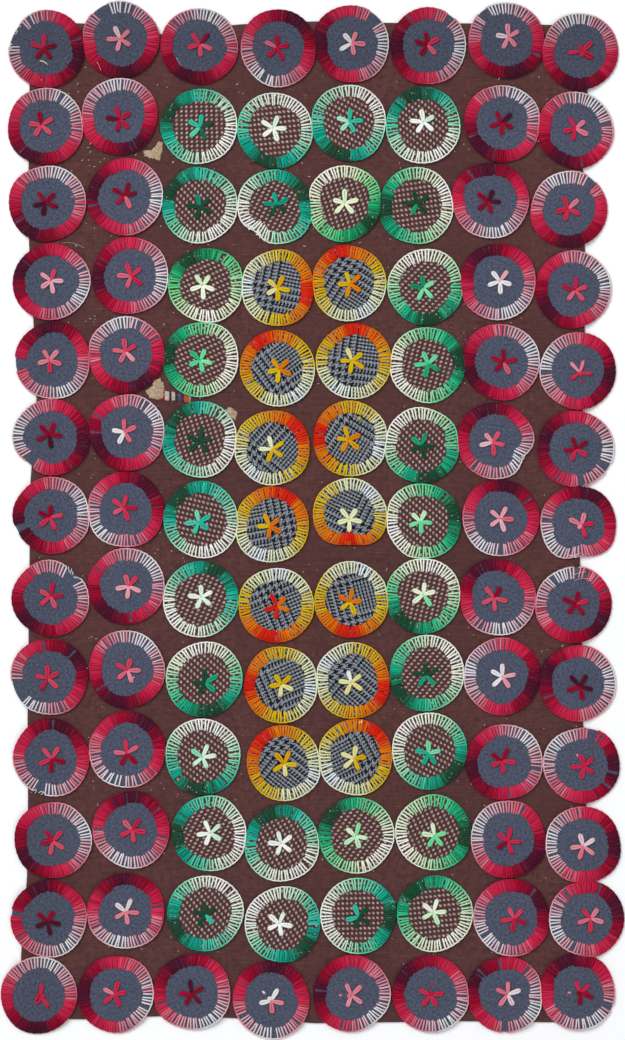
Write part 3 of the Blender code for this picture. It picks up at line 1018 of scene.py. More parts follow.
# %% Say how each rim is dyed and how closely it is sewn
HOURS = 12
SHADE_RUNS, SHADE_STEP = 5, 0.6
SEWN_WITH = {
    "slate_wool": {"thread": "red_thread", "crowding": 0.32, "covered": 0.50, "missing": 0.015},
    "dotted_brown": {"thread": "green_thread", "crowding": 0.56, "covered": 0.80, "missing": 0.005},
    "navy_check": {"thread": "gold_thread", "crowding": 0.32, "covered": 0.95, "missing": 0.0},
}
LOST_FIELDS = ("row", "column", "from_hour", "to_hour")
LOST = (
    (1, 1, 9.2, 10.4), (1, 2, 10.5, 11.3), (1, 5, 1.0, 1.8), (1, 6, 1.0, 1.5), (1, 7, 10.5, 10.9),
    (3, 8, 1.0, 1.5), (5, 1, 8.5, 9.2), (6, 1, 7.0, 7.7), (6, 8, 3.8, 4.2), (6, 8, 5.5, 5.9),
    (7, 1, 8.0, 8.5), (8, 1, 1.0, 1.9), (8, 8, 12.0, 12.3), (9, 1, 7.6, 8.8), (10, 1, 6.4, 7.0),
    (10, 8, 12.3, 12.9), (12, 1, 9.2, 9.5), (13, 7, 5.9, 6.2), (13, 8, 3.7, 4.0),
)


def chosen(table, fields, place):
    """The rows of a table that are about this penny, with their columns named."""
    return [dict(zip(fields, values)) for values in table if values[:2] == place]


def hours_of(angles):
    """Directions, counted against the clock from the right, as hours of a clock."""
    return (math.pi / 2 - angles) / TURN * HOURS % HOURS


def direction_of(hour):
    """An hour of a clock as a direction, a quarter turn less the hour's share of a round."""
    return math.pi / 2 - TURN / HOURS * hour


def dye_at(penny, angles):
    """From 0 at the pale hour evenly up to 1 at the dark one, both ways round, then drawn towards a few
    even shades: less the step's share of sin(n x), over n, with n rounds of the wave in a run."""
    since, span = (hours_of(angles) - penny["pale"]) % HOURS, (penny["dark"] - penny["pale"]) % HOURS
    even = np.where(since < span, since / span, (HOURS - since) / (HOURS - span))
    return even - SHADE_STEP * np.sin(TURN * SHADE_RUNS * even) / (TURN * SHADE_RUNS)


def fullness(penny, dye):
    """How closely the wool is covered: from 0 where the stitches begin to crowd to 1 where they hide it."""
    sewn = SEWN_WITH[penny["kind"]]
    return np.clip((dye - sewn["crowding"]) / (sewn["covered"] - sewn["crowding"]), 0.0, 1.0)


def is_lost(place, angles):
    """True where a rim has lost its stitches: the hours since the gap's first are fewer than the gap's."""
    hours = hours_of(angles)
    lost = np.zeros(len(angles), bool)
    for gap in chosen(LOST, LOST_FIELDS, place):
        lost |= (hours - gap["from_hour"]) % HOURS < gap["to_hour"] - gap["from_hour"]
    return lost


def wool_top(penny, x, y):
    """The height of the upper face: the disc's profile at this share of the way out, plus its lift."""
    away, angles = seen_from(penny["middle"], x, y)
    share = away / (rim_at(penny, angles) - THREAD_REACH)
    height = np.interp(share, UPPER_PROFILE[:, 0], UPPER_PROFILE[:, 1])
    return WOOL_BOTTOM + (WOOL_TOP - WOOL_BOTTOM) * height + lift_of(penny, x, y)


print(len(LOST), "gaps in the rims")

# %% [markdown]
# Blanket stitch is one thread that goes round the cut edge. Each stitch has a leg, which comes up through
# the wool about a centimetre in and lies on top of it, and the loops between the legs lie along the edge
# itself. So a rim is made of two things: some seventy short legs, and one closed thread round the edge.
# Neighbouring legs lean together in pairs. In a gap the edge thread dips into the wool and no leg is made.

# %% Sew the rims
PALE_PITCH, DARK_PITCH = 0.0037, 0.0028
PITCH_WAVER, COUNT_WAVER = 0.16, 1.0
LEG_LENGTH = 0.0108
LENGTH_WAVER, LENGTH_WAVE = 0.07, 0.05
PALE_HALF, DARK_HALF, HALF_WAVER = 0.00086, 0.00134, 0.0001
LEAN, LEAN_WAVER = 0.10, 0.18
LEG_DYE_WAVER = 0.035
LEG_SIDES, EDGE_SIDES = 5, 5
# A leg's way from its inner end over the rim: share of its length, and height above the wool
LEG_WAY = np.array([(-0.02, -0.0006), (0.05, 0.0003), (0.5, 0.0005), (0.93, 0.0004), (1.03, -0.0009)])
LEG_TAPER = np.array((0.75, 1.0, 1.0, 1.05, 0.9))
EDGE_STEPS = 120
EDGE = {"out": 0.00035, "up": 0.0015, "half": 0.00074, "ripple": 0.00018, "ripples": 37, "dye_waver": 0.02}
LOST_EDGE = {"in": 0.0022, "down": 0.0004, "half": 0.0002}


def legs(place):
    """The number of stitches is summed up round the rim as radius over pitch, more of them where the dye is
    dark. A leg stands wherever the sum reaches a whole number, give or take a waver, and runs inwards."""
    penny, shake = pennies[place], pennies[place]["shake"]
    fine = TURN * np.arange(RIM_STEPS + 1) / RIM_STEPS
    pitch = PALE_PITCH + (DARK_PITCH - PALE_PITCH) * fullness(penny, dye_at(penny, fine))
    sums = np.concatenate([[0.0], np.cumsum(rim_at(penny, fine[1:]) / pitch[1:])]) * TURN / RIM_STEPS
    count = round(sums[-1] + shake.uniform(-COUNT_WAVER, COUNT_WAVER))
    step = TURN / count
    wanted = (np.arange(count) + shake.uniform(-PITCH_WAVER, PITCH_WAVER, count)) % count * sums[-1] / count
    angles = np.interp(wanted, sums, fine)
    paired = LEAN * (1 - 2 * (np.arange(count) % 2))
    present = shake.uniform(0.0, 1.0, count) > SEWN_WITH[penny["kind"]]["missing"]
    kept = ~is_lost(place, angles % TURN) & present
    angles, paired = angles[kept], paired[kept]
    count = len(angles)
    dye = dye_at(penny, angles)
    waver = shake.uniform(-LENGTH_WAVER, LENGTH_WAVER, count)
    length = LEG_LENGTH * (1 + waver + LENGTH_WAVE * np.sin(3 * angles + penny["waves"][0]))
    lean = step * (paired + shake.uniform(-LEAN_WAVER, LEAN_WAVER, count))
    inwards = 1 - LEG_WAY[:, 0]
    radius = (rim_at(penny, angles) - THREAD_REACH)[:, None] - length[:, None] * inwards
    x, y = around(penny["middle"], radius, angles[:, None] + lean[:, None] * inwards)
    z = wool_top(penny, x, y) + LEG_WAY[:, 1]
    z[:, -1] = wool_top(penny, x[:, -2], y[:, -2]) + LEG_WAY[-1, 1]
    half = PALE_HALF + (DARK_HALF - PALE_HALF) * fullness(penny, dye)
    half += shake.uniform(-1, 1, count) * HALF_WAVER
    dye = np.clip(dye + shake.normal(0.0, LEG_DYE_WAVER, count), 0.0, 1.0)
    return np.stack([x, y, z], axis=2), half[:, None] * LEG_TAPER, np.repeat(dye, len(LEG_WAY) * LEG_SIDES)


def edge_thread(place):
    """One closed path a little outside the cut edge, at two thirds of the wool's thickness, with a fine
    sine ripple. In a gap it lies farther in, lower and thinner."""
    penny, shake = pennies[place], pennies[place]["shake"]
    angles = directions(EDGE_STEPS)
    lost = is_lost(place, angles)
    ripple = EDGE["ripple"] * np.sin(angles * EDGE["ripples"] + penny["waves"][1])
    radius = rim_at(penny, angles) - THREAD_REACH + EDGE["out"] + ripple - LOST_EDGE["in"] * lost
    x, y = around(penny["middle"], radius, angles)
    z = WOOL_BOTTOM + EDGE["up"] + lift_of(penny, x, y) - LOST_EDGE["down"] * lost
    dye = np.clip(dye_at(penny, angles) + shake.normal(0.0, EDGE["dye_waver"], EDGE_STEPS), 0.0, 1.0)
    half = np.where(lost, LOST_EDGE["half"], EDGE["half"])
    return np.stack([x, y, z], axis=1)[None], half[None], np.repeat(dye, EDGE_SIDES)


print("a leg is", round(LEG_LENGTH / MM, 1), "mm long")

# %% [markdown]
# The star is five loop stitches that start from one point, each held down at its tip by a tiny stitch. A
# loop is a thread that runs out, turns and comes back beside itself, so a petal is wide and slightly parted
# down its middle. Some petals have come undone, and the table of worn petals says what is left of them.

# %% Sew the stars
# Length and half width of a petal, each with the range of a random share of it
PETAL_LENGTH, PETAL_LENGTHS = 0.0121, (0.90, 1.10)
PETAL_PART, PETAL_PARTS = 0.00116, (0.85, 1.2)
PETAL_HALF, TIE_HALF = 0.00130, 0.0005
PETAL_SIDES, TIE_SIDES = 5, 5
PETAL_WAVER, TONE_WAVER = 0.10, 0.03
# A loop's way: share of the petal's length, distance to the side as a share of its half width, height
LOOP_WAY = np.array([
    (0.02, 0.15, 0.0001), (0.22, 0.62, 0.0008), (0.50, 0.96, 0.0011), (0.80, 1.06, 0.0011),
    (0.97, 0.80, 0.0009), (1.00, 0.0, 0.0008), (0.97, -0.80, 0.0009), (0.80, -1.06, 0.0011),
    (0.50, -0.96, 0.0011), (0.22, -0.62, 0.0008), (0.02, -0.15, 0.0001),
])
LOOP_GIRTH = np.array((0.7, 0.85, 1.0, 1.1, 1.05, 1.0, 1.05, 1.1, 1.0, 0.85, 0.7))
TIE_WAY = np.array([(0.94, 0.0, 0.0006), (1.04, 0.0, 0.0010), (1.12, 0.0, -0.0003)])
# Petals counted clockwise from the first, with what is left of their length and width
WORN_FIELDS = ("row", "column", "petal", "length", "width")
WORN = (
    (1, 8, 1, 1.25, 0.7), (1, 8, 2, 0.5, 1.0), (1, 8, 3, 0.95, 1.3), (1, 8, 4, 0.95, 1.3),
    (1, 8, 5, 0.45, 1.0), (5, 8, 1, 1.0, 0.6), (5, 8, 2, 1.0, 0.6), (5, 8, 3, 1.0, 0.6),
    (5, 8, 4, 0.25, 0.6), (5, 8, 5, 1.0, 0.6), (7, 8, 3, 0.35, 0.9), (13, 1, 2, 0.6, 1.5),
    (13, 1, 3, 0.3, 1.0), (13, 1, 5, 0.3, 1.0), (13, 4, 2, 0.3, 1.0), (13, 5, 1, 0.3, 1.0),
    (13, 6, 1, 0.3, 1.0), (13, 8, 5, 0.3, 1.0),
)


def lay_star(place):
    """The first petal points to the charted hour, and the others follow clockwise at even steps."""
    penny, shake = pennies[place], pennies[place]["shake"]
    waver = shake.uniform(-PETAL_WAVER, PETAL_WAVER, PETALS)
    star = {
        "middle": penny["middle"] + np.array((penny["right"], -penny["down"])) * MM,
        "angles": direction_of(penny["first"]) - TURN / PETALS * (np.arange(PETALS) + waver),
        "length": PETAL_LENGTH * shake.uniform(*PETAL_LENGTHS, PETALS),
        "width": PETAL_PART * shake.uniform(*PETAL_PARTS, PETALS),
        "dye": np.clip(penny["tones"] + shake.normal(0.0, TONE_WAVER, PETALS), 0.0, 1.0),
    }
    for fault in chosen(WORN, WORN_FIELDS, place):
        star["length"][fault["petal"] - 1] *= fault["length"]
        star["width"][fault["petal"] - 1] *= fault["width"]
    penny["star"] = star


def along_and_beside(start, out, side, angle):
    """x is the start's, plus the way out times the cosine of the angle, less the way to the side times its
    sine. y is the start's, plus the way out times the sine, plus the way to the side times the cosine."""
    cos, sin = np.cos(angle), np.sin(angle)
    return start[0] + out * cos - side * sin, start[1] + out * sin + side * cos


def petals(place, way, half, sides):
    """Each petal is the same way in its own direction: out along it, and off to its side."""
    penny = pennies[place]
    star = penny["star"]
    out, side = way[:, 0] * star["length"][:, None], way[:, 1] * star["width"][:, None]
    x, y = along_and_beside(star["middle"], out, side, star["angles"][:, None])
    z = wool_top(penny, x, y) + way[:, 2]
    dye = np.repeat(star["dye"], len(way) * sides)
    return np.stack([x, y, z], axis=2), np.broadcast_to(half, z.shape), dye


print(len(WORN), "worn petals")

# %% [markdown]
# Old sewing frays. Short bits of thread are left where a petal broke, and torn rims have tufts of loose
# ends. Both are short paths too, placed by an hour of the clock, so the same builder makes them.

# %% Fray the sewing
# Bits of thread: how far from the star's middle, in millimetres, and their dye
BIT_FIELDS = ("row", "column", "hour", "away", "dye")
BITS = (
    (5, 8, 5.5, 9.0, 0.60), (10, 8, 11.0, 13.0, 0.35), (13, 4, 10.6, 11.0, 0.05), (13, 5, 9.0, 11.0, 0.35),
    (13, 6, 12.3, 11.0, 0.55), (13, 8, 9.0, 11.5, 0.30), (1, 8, 4.8, 9.0, 0.70), (6, 5, 0.9, 24.0, 0.45),
)
# A bit's way: out from its middle, and height
BIT_WAY = np.array([(-0.0016, -0.0003), (-0.0006, 0.0007), (0.0006, 0.0008), (0.0016, -0.0003)])
BIT_HALF = 0.0012
# Tufts on the rims: how many ends, their length in millimetres and their dye
TUFT_FIELDS = ("row", "column", "hour", "ends", "long", "dye")
TUFTS = (
    (1, 1, 9.2, 4, 3.0, 0.05), (1, 1, 10.2, 4, 3.0, 0.10), (6, 2, 2.0, 4, 4.0, 0.10),
    (6, 7, 4.0, 4, 4.0, 0.15), (8, 1, 1.4, 5, 5.0, 0.02), (12, 5, 2.3, 4, 5.0, 0.62),
    (10, 1, 6.7, 5, 4.0, 0.05), (3, 4, 7.7, 12, 4.5, 0.02), (3, 4, 6.9, 8, 4.0, 0.06),
    (3, 4, 6.3, 6, 3.0, 0.30), (7, 5, 6.2, 4, 4.0, 0.80), (7, 8, 6.3, 8, 3.5, 0.08),
    (7, 8, 5.6, 5, 3.5, 0.30), (8, 8, 12.6, 6, 3.0, 0.50), (10, 8, 12.8, 6, 3.0, 0.60),
    (4, 4, 10.4, 6, 3.6, 0.12), (3, 4, 3.9, 6, 4.5, 0.62), (2, 4, 12.2, 4, 2.6, 0.08),
    (10, 5, 12.4, 3, 3.0, 0.20),
)
TUFT_STEPS, TUFT_HALF = 6, 0.00042
TUFT_INSIDE, TUFT_ABOVE, TUFT_FALL = 0.0035, 0.0008, 0.0012
TUFT_HOURS, TUFT_TURN, TUFT_BEND, TUFT_DYE_WAVER = 0.25, 1.2, 0.3, 0.04
TUFT_LENGTHS = (0.7, 1.2)
TUFT_CURL, TUFT_CURL_REACH = 3.0, 5


def bits(place, sides):
    """Short ends that come up through the wool and go down again, lying along the way out from the star."""
    penny = pennies[place]
    found = chosen(BITS, BIT_FIELDS, place)
    angle = np.array([direction_of(bit["hour"]) for bit in found])[:, None]
    away = np.array([bit["away"] * MM for bit in found])[:, None] + BIT_WAY[:, 0]
    x, y = around(penny["star"]["middle"], away, angle)
    z = wool_top(penny, x, y) + BIT_WAY[:, 1]
    dye = np.repeat([bit["dye"] for bit in found], len(BIT_WAY) * sides)
    return np.stack([x, y, z], axis=2), np.full(z.shape, BIT_HALF), dye


def tufts(place, sides):
    """Frayed ends start in the rim and wander outwards, each bent to one side by a sine of the way."""
    penny, shake = pennies[place], pennies[place]["shake"]
    paths, dyes = [], []
    along = np.linspace(0.0, 1.0, TUFT_STEPS)
    for tuft in chosen(TUFTS, TUFT_FIELDS, place):
        for _ in range(tuft["ends"]):
            angle = direction_of(tuft["hour"] + shake.uniform(-TUFT_HOURS, TUFT_HOURS))
            turn = angle + shake.uniform(-TUFT_TURN, TUFT_TURN)
            bend = shake.uniform(-TUFT_BEND, TUFT_BEND)
            root = around(penny["middle"], rim_at(penny, np.array([angle]))[0] - TUFT_INSIDE, angle)
            out = tuft["long"] * MM * shake.uniform(*TUFT_LENGTHS) * along
            side = bend * np.sin(TUFT_CURL * along) * MM * TUFT_CURL_REACH
            x, y = along_and_beside(root, out, side, turn)
            z = WOOL_TOP + TUFT_ABOVE + lift_of(penny, x, y) - TUFT_FALL * along
            paths.append(np.stack([x, y, z], axis=1))
            dyes.append(tuft["dye"] + shake.uniform(-TUFT_DYE_WAVER, TUFT_DYE_WAVER))
    return np.array(paths), np.full((len(paths), TUFT_STEPS), TUFT_HALF), np.repeat(dyes, TUFT_STEPS * sides)


print(len(BITS), "bits and", sum(tuft[TUFT_FIELDS.index("ends")] for tuft in TUFTS), "loose ends")

# %% [markdown]
# All the parts of one penny's sewing are joined into one mesh, since one length of thread made them. The
# parts keep their own maps: one gives each strand a cell, and one runs along the thread for its ply.

# %% Join each penny's sewing
THREAD_HALF_HEIGHT, HEIGHT_SHARES = 0.00052, (0.3, 1.15)
EDGE_STRIP = 12
MAP_CELLS = 11
PLY_SHIFT = 0.37
LEAF_STEPS = 10


def ply_map(paths, sides, closed):
    """Across the map: turns of the ply along the strand, each strand begun a little later than the one
    before. Up the map: the share round the strand."""
    count, length = paths.shape[:2]
    turns = np.linalg.norm(np.diff(paths, axis=1), axis=2).mean() / PLY_TURN
    n, k, a = numbered(count, length if closed else length - 1, sides)
    return np.stack([
        np.stack([(k + dk) * turns + n * PLY_SHIFT, (a + da) / sides], axis=3) for dk, da in QUAD_CORNERS
    ], axis=3).reshape(-1, 2)


def join(parts):
    """Points are numbered on from part to part, and so are the cells of the map. The faces with four
    corners come first, then the caps of all the open ends, in the mesh and in its maps alike."""
    points, dyes, quads, caps = [], [], [], []
    own_quads, own_caps, ply_quads, ply_caps = [], [], [], []
    cell = start = 0
    for paths, half, dye, sides, closed in parts:
        height = THREAD_HALF_HEIGHT * np.clip(half / PALE_HALF, *HEIGHT_SHARES)
        found, faces = strands(paths, half, height, sides, closed)
        count, length = paths.shape[:2]
        own = strand_maps(count, length, sides, cell, MAP_CELLS, EDGE_STRIP if closed else None)
        cell += length // EDGE_STRIP if closed else count
        points.append(found)
        dyes.append(dye)
        quads.append(faces[0] + start)
        own_quads.append(own[:faces[0].size])
        ply_quads.append(ply_map(paths, sides, closed))
        if not closed:
            caps.append(faces[1] + start)
            own_caps.append(own[faces[0].size:])
            ply_caps.append(np.zeros((faces[1].size, 2)))
        start += len(found)
    maps = {OWN_MAP: np.concatenate(own_quads + own_caps), THREAD_MAP: np.concatenate(ply_quads + ply_caps)}
    faces = [np.concatenate(quads), np.concatenate(caps)]
    return np.concatenate(points), faces, maps, np.concatenate(dyes), cell


def sew(place):
    """Legs, edge, petals and ties for every penny, and what has frayed where the tables say so."""
    row, column = place
    penny = pennies[place]
    lay_star(place)
    parts = [
        (*legs(place), LEG_SIDES, False),
        (*edge_thread(place), EDGE_SIDES, True),
        (*petals(place, LOOP_WAY, PETAL_HALF * LOOP_GIRTH, PETAL_SIDES), PETAL_SIDES, False),
        (*petals(place, TIE_WAY, TIE_HALF, TIE_SIDES), TIE_SIDES, False),
    ]
    if chosen(BITS, BIT_FIELDS, place):
        parts.append((*bits(place, TIE_SIDES), TIE_SIDES, False))
    if chosen(TUFTS, TUFT_FIELDS, place):
        parts.append((*tufts(place, TIE_SIDES), TIE_SIDES, False))
    points, faces, maps, dye, cells = join(parts)
    kind = SEWN_WITH[penny["kind"]]["thread"]
    leaf = np.full(len(points), penny.get("lay", {}).get("leaf", 0.0) / LEAF_STEPS)
    piece = put_together(
        f"stitches_r{row:02d}_c{column}", points, faces, THREADS[kind], maps, {"dye": dye, "leaf": leaf},
    )
    penny["stitches"] = piece
    return cells


cells_used = max(sew(place) for place in pennies)
print("sewn;", cells_used, "of", MAP_CELLS**2, "cells of each map used")

# %% [markdown]
# The brown cloth lies under it all. It is a closed slab with a fine grid above and below, so that it can
# ripple slightly where it isn't held down, and it stays flat beneath, where it rests.

# %% Lay the brown cloth
GRID_ACROSS, GRID_DOWN = 96, 160
SETTLING_ROUNDS = 4
RIPPLE, RIPPLE_BELOW_TOP = 0.00022, 0.0002
HELD_AT_EDGE = 16
# Radians a metre of a fast wave, how far its phase is swayed, and radians a metre of the slow wave
RIPPLE_ACROSS, RIPPLE_ALONG = (41, 7, 9), (37, 5, 11)
BACKING_MAP_EDGE, BACKING_MAP_SHARE, BACKING_MAP_GAP = 0.01, 0.85, 0.03
UNDERSIDE_SQUEEZE = (0.4, 1.0)


def backing_grid():
    """A point's place across runs from the left edge to the right one at its own height, and its height
    from the bottom edge to the top one at its own place across: a few rounds settle both."""
    u, v = np.meshgrid(np.linspace(0, 1, GRID_ACROSS), np.linspace(0, 1, GRID_DOWN), indexing="ij")
    y = 0 * v
    for _ in range(SETTLING_ROUNDS):
        x = edge_x("left", y) + u * (edge_x("right", y) - edge_x("left", y))
        y = edge_y("bottom", x) + v * (edge_y("top", x) - edge_y("bottom", x))
    return u, v, x, y


def ripple_at(x, y):
    """A sine across times a sine along, each with its phase swayed by a slower sine of the other way."""
    (fast_x, sway_x, slow_y), (fast_y, sway_y, slow_x) = RIPPLE_ACROSS, RIPPLE_ALONG
    return np.sin(fast_x * x + sway_x * np.sin(slow_y * y)) * np.sin(fast_y * y + sway_y * np.sin(slow_x * x))


def backing_faces(upper_points):
    """Four neighbours of the grid make a face, the same four backwards one below, and walls join both."""
    i, j = np.meshgrid(np.arange(GRID_ACROSS - 1), np.arange(GRID_DOWN - 1), indexing="ij")
    first = i * GRID_DOWN + j
    upper = np.stack([first, first + GRID_DOWN, first + GRID_DOWN + 1, first + 1], axis=2).reshape(-1, 4)
    lower = upper[:, ::-1] + upper_points
    last_i, last_j = GRID_ACROSS - 1, GRID_DOWN - 1
    rim = np.concatenate([
        np.arange(last_i) * GRID_DOWN,
        last_i * GRID_DOWN + np.arange(last_j),
        (last_i - np.arange(last_i)) * GRID_DOWN + last_j,
        last_j - np.arange(last_j),
    ])
    after = np.roll(rim, -1)
    walls = np.stack([rim, rim + upper_points, after + upper_points, after], axis=1)
    return np.concatenate([upper, lower, walls])


def backing_map(points, faces, upper_points):
    """The upper side lies in the map at its true shape, and the underside beside it, squeezed."""
    low, high = points[:, :2].min(axis=0), points[:, :2].max(axis=0)
    flat = (points[:, :2] - low) / (high[1] - low[1])
    width = (high[0] - low[0]) / (high[1] - low[1])
    above = BACKING_MAP_EDGE + BACKING_MAP_SHARE * flat
    beside = (BACKING_MAP_SHARE * width + BACKING_MAP_GAP, 0.0)
    below = BACKING_MAP_EDGE + BACKING_MAP_SHARE * flat * UNDERSIDE_SQUEEZE + beside
    is_upper = (faces < upper_points).all(axis=1)
    return np.where(is_upper[:, None, None], above[faces], below[faces]).reshape(-1, 2)


def lay_backing():
    """The ripple fades out towards the edges. The area is the sum of half the cross product of each face's
    two diagonals."""
    u, v, x, y = backing_grid()
    inside = np.clip(HELD_AT_EDGE * np.minimum.reduce([u, 1 - u, v, 1 - v]), 0, 1)
    height = CLOTH_TOP - RIPPLE_BELOW_TOP + RIPPLE * inside * ripple_at(x, y)
    top = np.stack([x, y, height], axis=2).reshape(-1, 3)
    bottom = np.stack([x, y, np.zeros_like(x)], axis=2).reshape(-1, 3)
    points = np.concatenate([top, bottom])
    faces = backing_faces(len(top))
    own = backing_map(points, faces, len(top))
    piece = put_together("backing_cloth", points, [faces], CLOTHS["brown_backing"], {OWN_MAP: own})
    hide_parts("backing")
    flat = points[:, :2].max(axis=0) - points[:, :2].min(axis=0)
    grid = top.reshape(GRID_ACROSS, GRID_DOWN, 3)
    first, second = grid[1:, 1:, :2] - grid[:-1, :-1, :2], grid[:-1, 1:, :2] - grid[1:, :-1, :2]
    area = float(np.abs(first[..., 0] * second[..., 1] - first[..., 1] * second[..., 0]).sum() / 2)
    return piece, (float(flat[0]), float(flat[1])), area


backing, backing_flat, backing_area = lay_backing()
print("brown cloth", [round(side, 3) for side in backing_flat], "m,", round(backing_area, 3), "square metres")

# %% [markdown]
# Scraps of cream and striped cloth show in a few worn places between the pennies. They are laid here as
# thin frayed discs on top of the brown cloth, so that it needs no holes. Places are given in millimetres
# from the picture's upper left corner.

# %% Lay the scraps
PICTURE_WIDE = 625
SCRAP_STEPS, SCRAP_SIDE_STEPS = 48, 12
SCRAP_THICK = 0.0005
SCRAP_FRAY = 0.0009
SCRAP_PROFILE = np.array([(0, 1), (0.6, 1.1), (0.96, 0.9), (1, 0.5), (0.96, 0.1), (0.6, 0), (0, 0)], float)
# Corners of each scrap, right and down
SCRAPS = {
    "scrap_upper": ("cream_scrap", (
        (143, 150), (151, 150), (156, 145), (158, 141), (163, 141),
        (162, 150), (160, 161), (152, 158), (144, 156),
    )),
    "scrap_lower": ("cream_scrap", (
        (145, 391), (152, 386), (154, 379), (160, 378), (164, 384), (164, 398), (157, 400), (149, 397),
    )),
    "scrap_striped": ("striped_scrap", (
        (162, 391), (178, 392), (191, 396), (190, 403), (177, 401), (162, 400),
    )),
    "scrap_small": ("cream_scrap", (
        (225, 409), (231, 407), (237, 412), (236, 421), (231, 418), (226, 414),
    )),
}


def on_rug(right, down):
    """x is the place right of the picture's middle and y the place above it, in metres."""
    right, down = np.asarray(right, float), np.asarray(down, float)
    return (right - PICTURE_WIDE / 2) * MM, (PICTURE_HIGH / 2 - down) * MM


def lay_scrap(name, cloth, corners):
    """Its outline, as distances from its middle, is read off between the corners and frayed at random."""
    x, y = on_rug(*np.array(corners).T)
    middle = np.array((x.mean(), y.mean()))
    shares = np.linspace(0, 1, SCRAP_SIDE_STEPS, endpoint=False)[:, None]
    x = (x + shares * (np.roll(x, -1) - x)).T.ravel()
    y = (y + shares * (np.roll(y, -1) - y)).T.ravel()
    away, angles = seen_from(middle, x, y)
    order = np.argsort(angles)
    radii = np.interp(directions(SCRAP_STEPS), angles[order], away[order], period=TURN)
    radii += np.random.default_rng((SEED, len(name))).uniform(-SCRAP_FRAY, SCRAP_FRAY, SCRAP_STEPS)
    points, faces = disc((middle, radii), SCRAP_PROFILE, SCRAP_THICK, CLOTH_TOP)
    own = disc_map(points, faces, middle, radii.max(), SCRAP_PROFILE, SCRAP_STEPS)
    low, high = points[:, :2].min(axis=0), points[:, :2].max(axis=0)
    share = (points[:, :2] - low) / (high - low)
    weave = np.concatenate([share[part].reshape(-1, 2) for part in faces])
    piece = put_together(name, points, faces, CLOTHS[cloth], {OWN_MAP: own, CLOTH_MAP: weave})
    area = area_of(radii)
    return round(area / MM**2)


for name, (cloth, corners) in SCRAPS.items():
    print(name, lay_scrap(name, cloth, corners), "square millimetres")

# %% [markdown]
# Pale lint has caught all over, most of it in the upper left, and also in the dark green stitches. Each bit
# is a short bent strand with three sides, and all of them are one mesh. A few longer hairs lie where they
# are charted.

# %% Strew the lint
LINT_FREE, LINT_IN_GREEN, TRIES = 260, 5, 12
# Where free lint falls, in millimetres from the picture's upper left corner: from and how far
LINT_RIGHT, LINT_DOWN = (40, 540), (30, 980)
LINT_EVERYWHERE, LINT_ON_PENNIES, LINT_LOW = 0.12, 0.03, 0.0008
LINT_HOURS, LINT_INSIDE = 1.1, (0.002, 0.011)
LINT_BEND, LINT_CURL = 0.6, 3
# Lengths in millimetres
LINT_LONG, LINT_IN_GREEN_LONG = (0.6, 2.4), (0.7, 1.4)
LINT_STEPS, LINT_SIDES = 5, 3
LINT_HALF, LINT_HALVES, LINT_FLATNESS = 0.00032, (0.7, 1.6), 0.6
LINT_ABOVE, WOOL_FUZZ, THREAD_FUZZ, THREAD_OUT = 0.0002, 0.0003, 0.0009, 0.0006
HAIR_SAG = 0.12
# Longer pale hairs, from one end to the other, right and down, and half their thickness in millimetres
HAIRS = (
    (40, 61, 48, 65, 0.9), (62, 243, 84, 248, 0.22), (97, 62, 101, 71, 0.22), (130, 226, 134, 233, 0.22),
    (176, 58, 181, 66, 0.22), (469, 907, 476, 914, 0.4), (470, 918, 478, 921, 0.4),
    (573, 576, 586, 572, 0.45), (574, 581, 588, 579, 0.4),
)


def height_at(x, y):
    """The height of whatever is uppermost here: a penny's wool and thread, or the brown cloth."""
    height = np.full(x.shape, CLOTH_TOP + WOOL_FUZZ)
    for penny in pennies.values():
        away, angles = seen_from(penny["middle"], x, y)
        inside = away < rim_at(penny, angles) + THREAD_OUT
        height = np.where(inside, np.maximum(height, wool_top(penny, x, y) + THREAD_FUZZ), height)
    return height


def free_places(shake):
    """The weight is (1 - share across) squared times (1 - share down) squared, and a little everywhere, so
    most lint falls in the upper left. Nearly all that lands on a penny is blown away."""
    across, down = shake.uniform(0, 1, (2, TRIES * LINT_FREE))
    weight = LINT_EVERYWHERE + (1 - across) ** 2 * (1 - down) ** 2
    picked = shake.uniform(0, 1, across.size) < weight
    x, y = on_rug(
        LINT_RIGHT[0] + across[picked] * LINT_RIGHT[1], LINT_DOWN[0] + down[picked] * LINT_DOWN[1],
    )
    low = height_at(x, y) < WOOL_BOTTOM + LINT_LOW
    keep = np.flatnonzero(low | (shake.uniform(0, 1, x.size) < LINT_ON_PENNIES))[:LINT_FREE]
    return x[keep], y[keep]


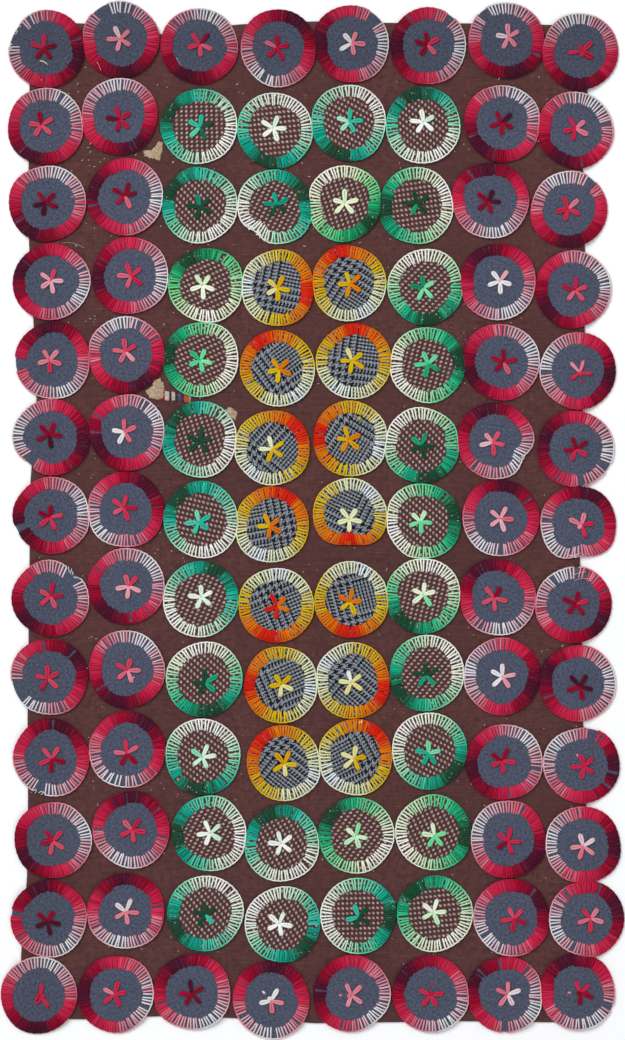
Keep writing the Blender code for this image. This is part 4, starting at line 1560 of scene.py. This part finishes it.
def lay_lint():
    """Free lint, lint about the dark hour of every green rim, and hairs: a strand lies along a random
    direction and is bent to its side by a cosine of the way along."""
    shake = np.random.default_rng((SEED, LINT_FREE))
    x, y = free_places(shake)
    free = x.size
    for penny in pennies.values():
        if penny["kind"] == "dotted_brown":
            angles = direction_of(penny["dark"] + shake.uniform(-LINT_HOURS, LINT_HOURS, LINT_IN_GREEN))
            away = rim_at(penny, angles) - shake.uniform(*LINT_INSIDE, LINT_IN_GREEN)
            in_green = around(penny["middle"], away, angles)
            x, y = np.append(x, in_green[0]), np.append(y, in_green[1])
    turn, bend = shake.uniform(0, TURN, x.size), shake.uniform(-LINT_BEND, LINT_BEND, x.size)
    long_free, long_green = shake.uniform(*LINT_LONG, x.size), shake.uniform(*LINT_IN_GREEN_LONG, x.size)
    long = np.where(np.arange(x.size) < free, long_free, long_green) * MM
    way = np.linspace(-0.5, 0.5, LINT_STEPS)
    out, side = long[:, None] * way, (bend * long)[:, None] * np.cos(LINT_CURL * way)
    x, y = along_and_beside((x[:, None], y[:, None]), out, side, turn[:, None])
    for from_right, from_down, to_right, to_down, _ in HAIRS:
        (x0, x1), (y0, y1) = on_rug((from_right, to_right), (from_down, to_down))
        x, y = np.vstack([x, x0 + (way + 0.5) * (x1 - x0)]), np.vstack([y, y0 + (way + 0.5) * (y1 - y0)])
        y[-1] += HAIR_SAG * np.hypot(x1 - x0, y1 - y0) * np.cos(LINT_CURL * way)
    paths = np.stack([x, y, height_at(x, y) + LINT_ABOVE], axis=2)
    thick = LINT_HALF * shake.uniform(*LINT_HALVES, len(x))
    thick[-len(HAIRS):] = [hair[-1] * MM for hair in HAIRS]
    points, faces = strands(paths, thick[:, None], LINT_FLATNESS * thick[:, None], LINT_SIDES)
    own = strand_maps(len(x), LINT_STEPS, LINT_SIDES, 0, math.ceil(len(x) ** 0.5))
    piece = put_together("pale_lint", points, faces, CLOTHS["pale_lint"], {OWN_MAP: own})
    return len(x)


print(lay_lint(), "bits of lint")
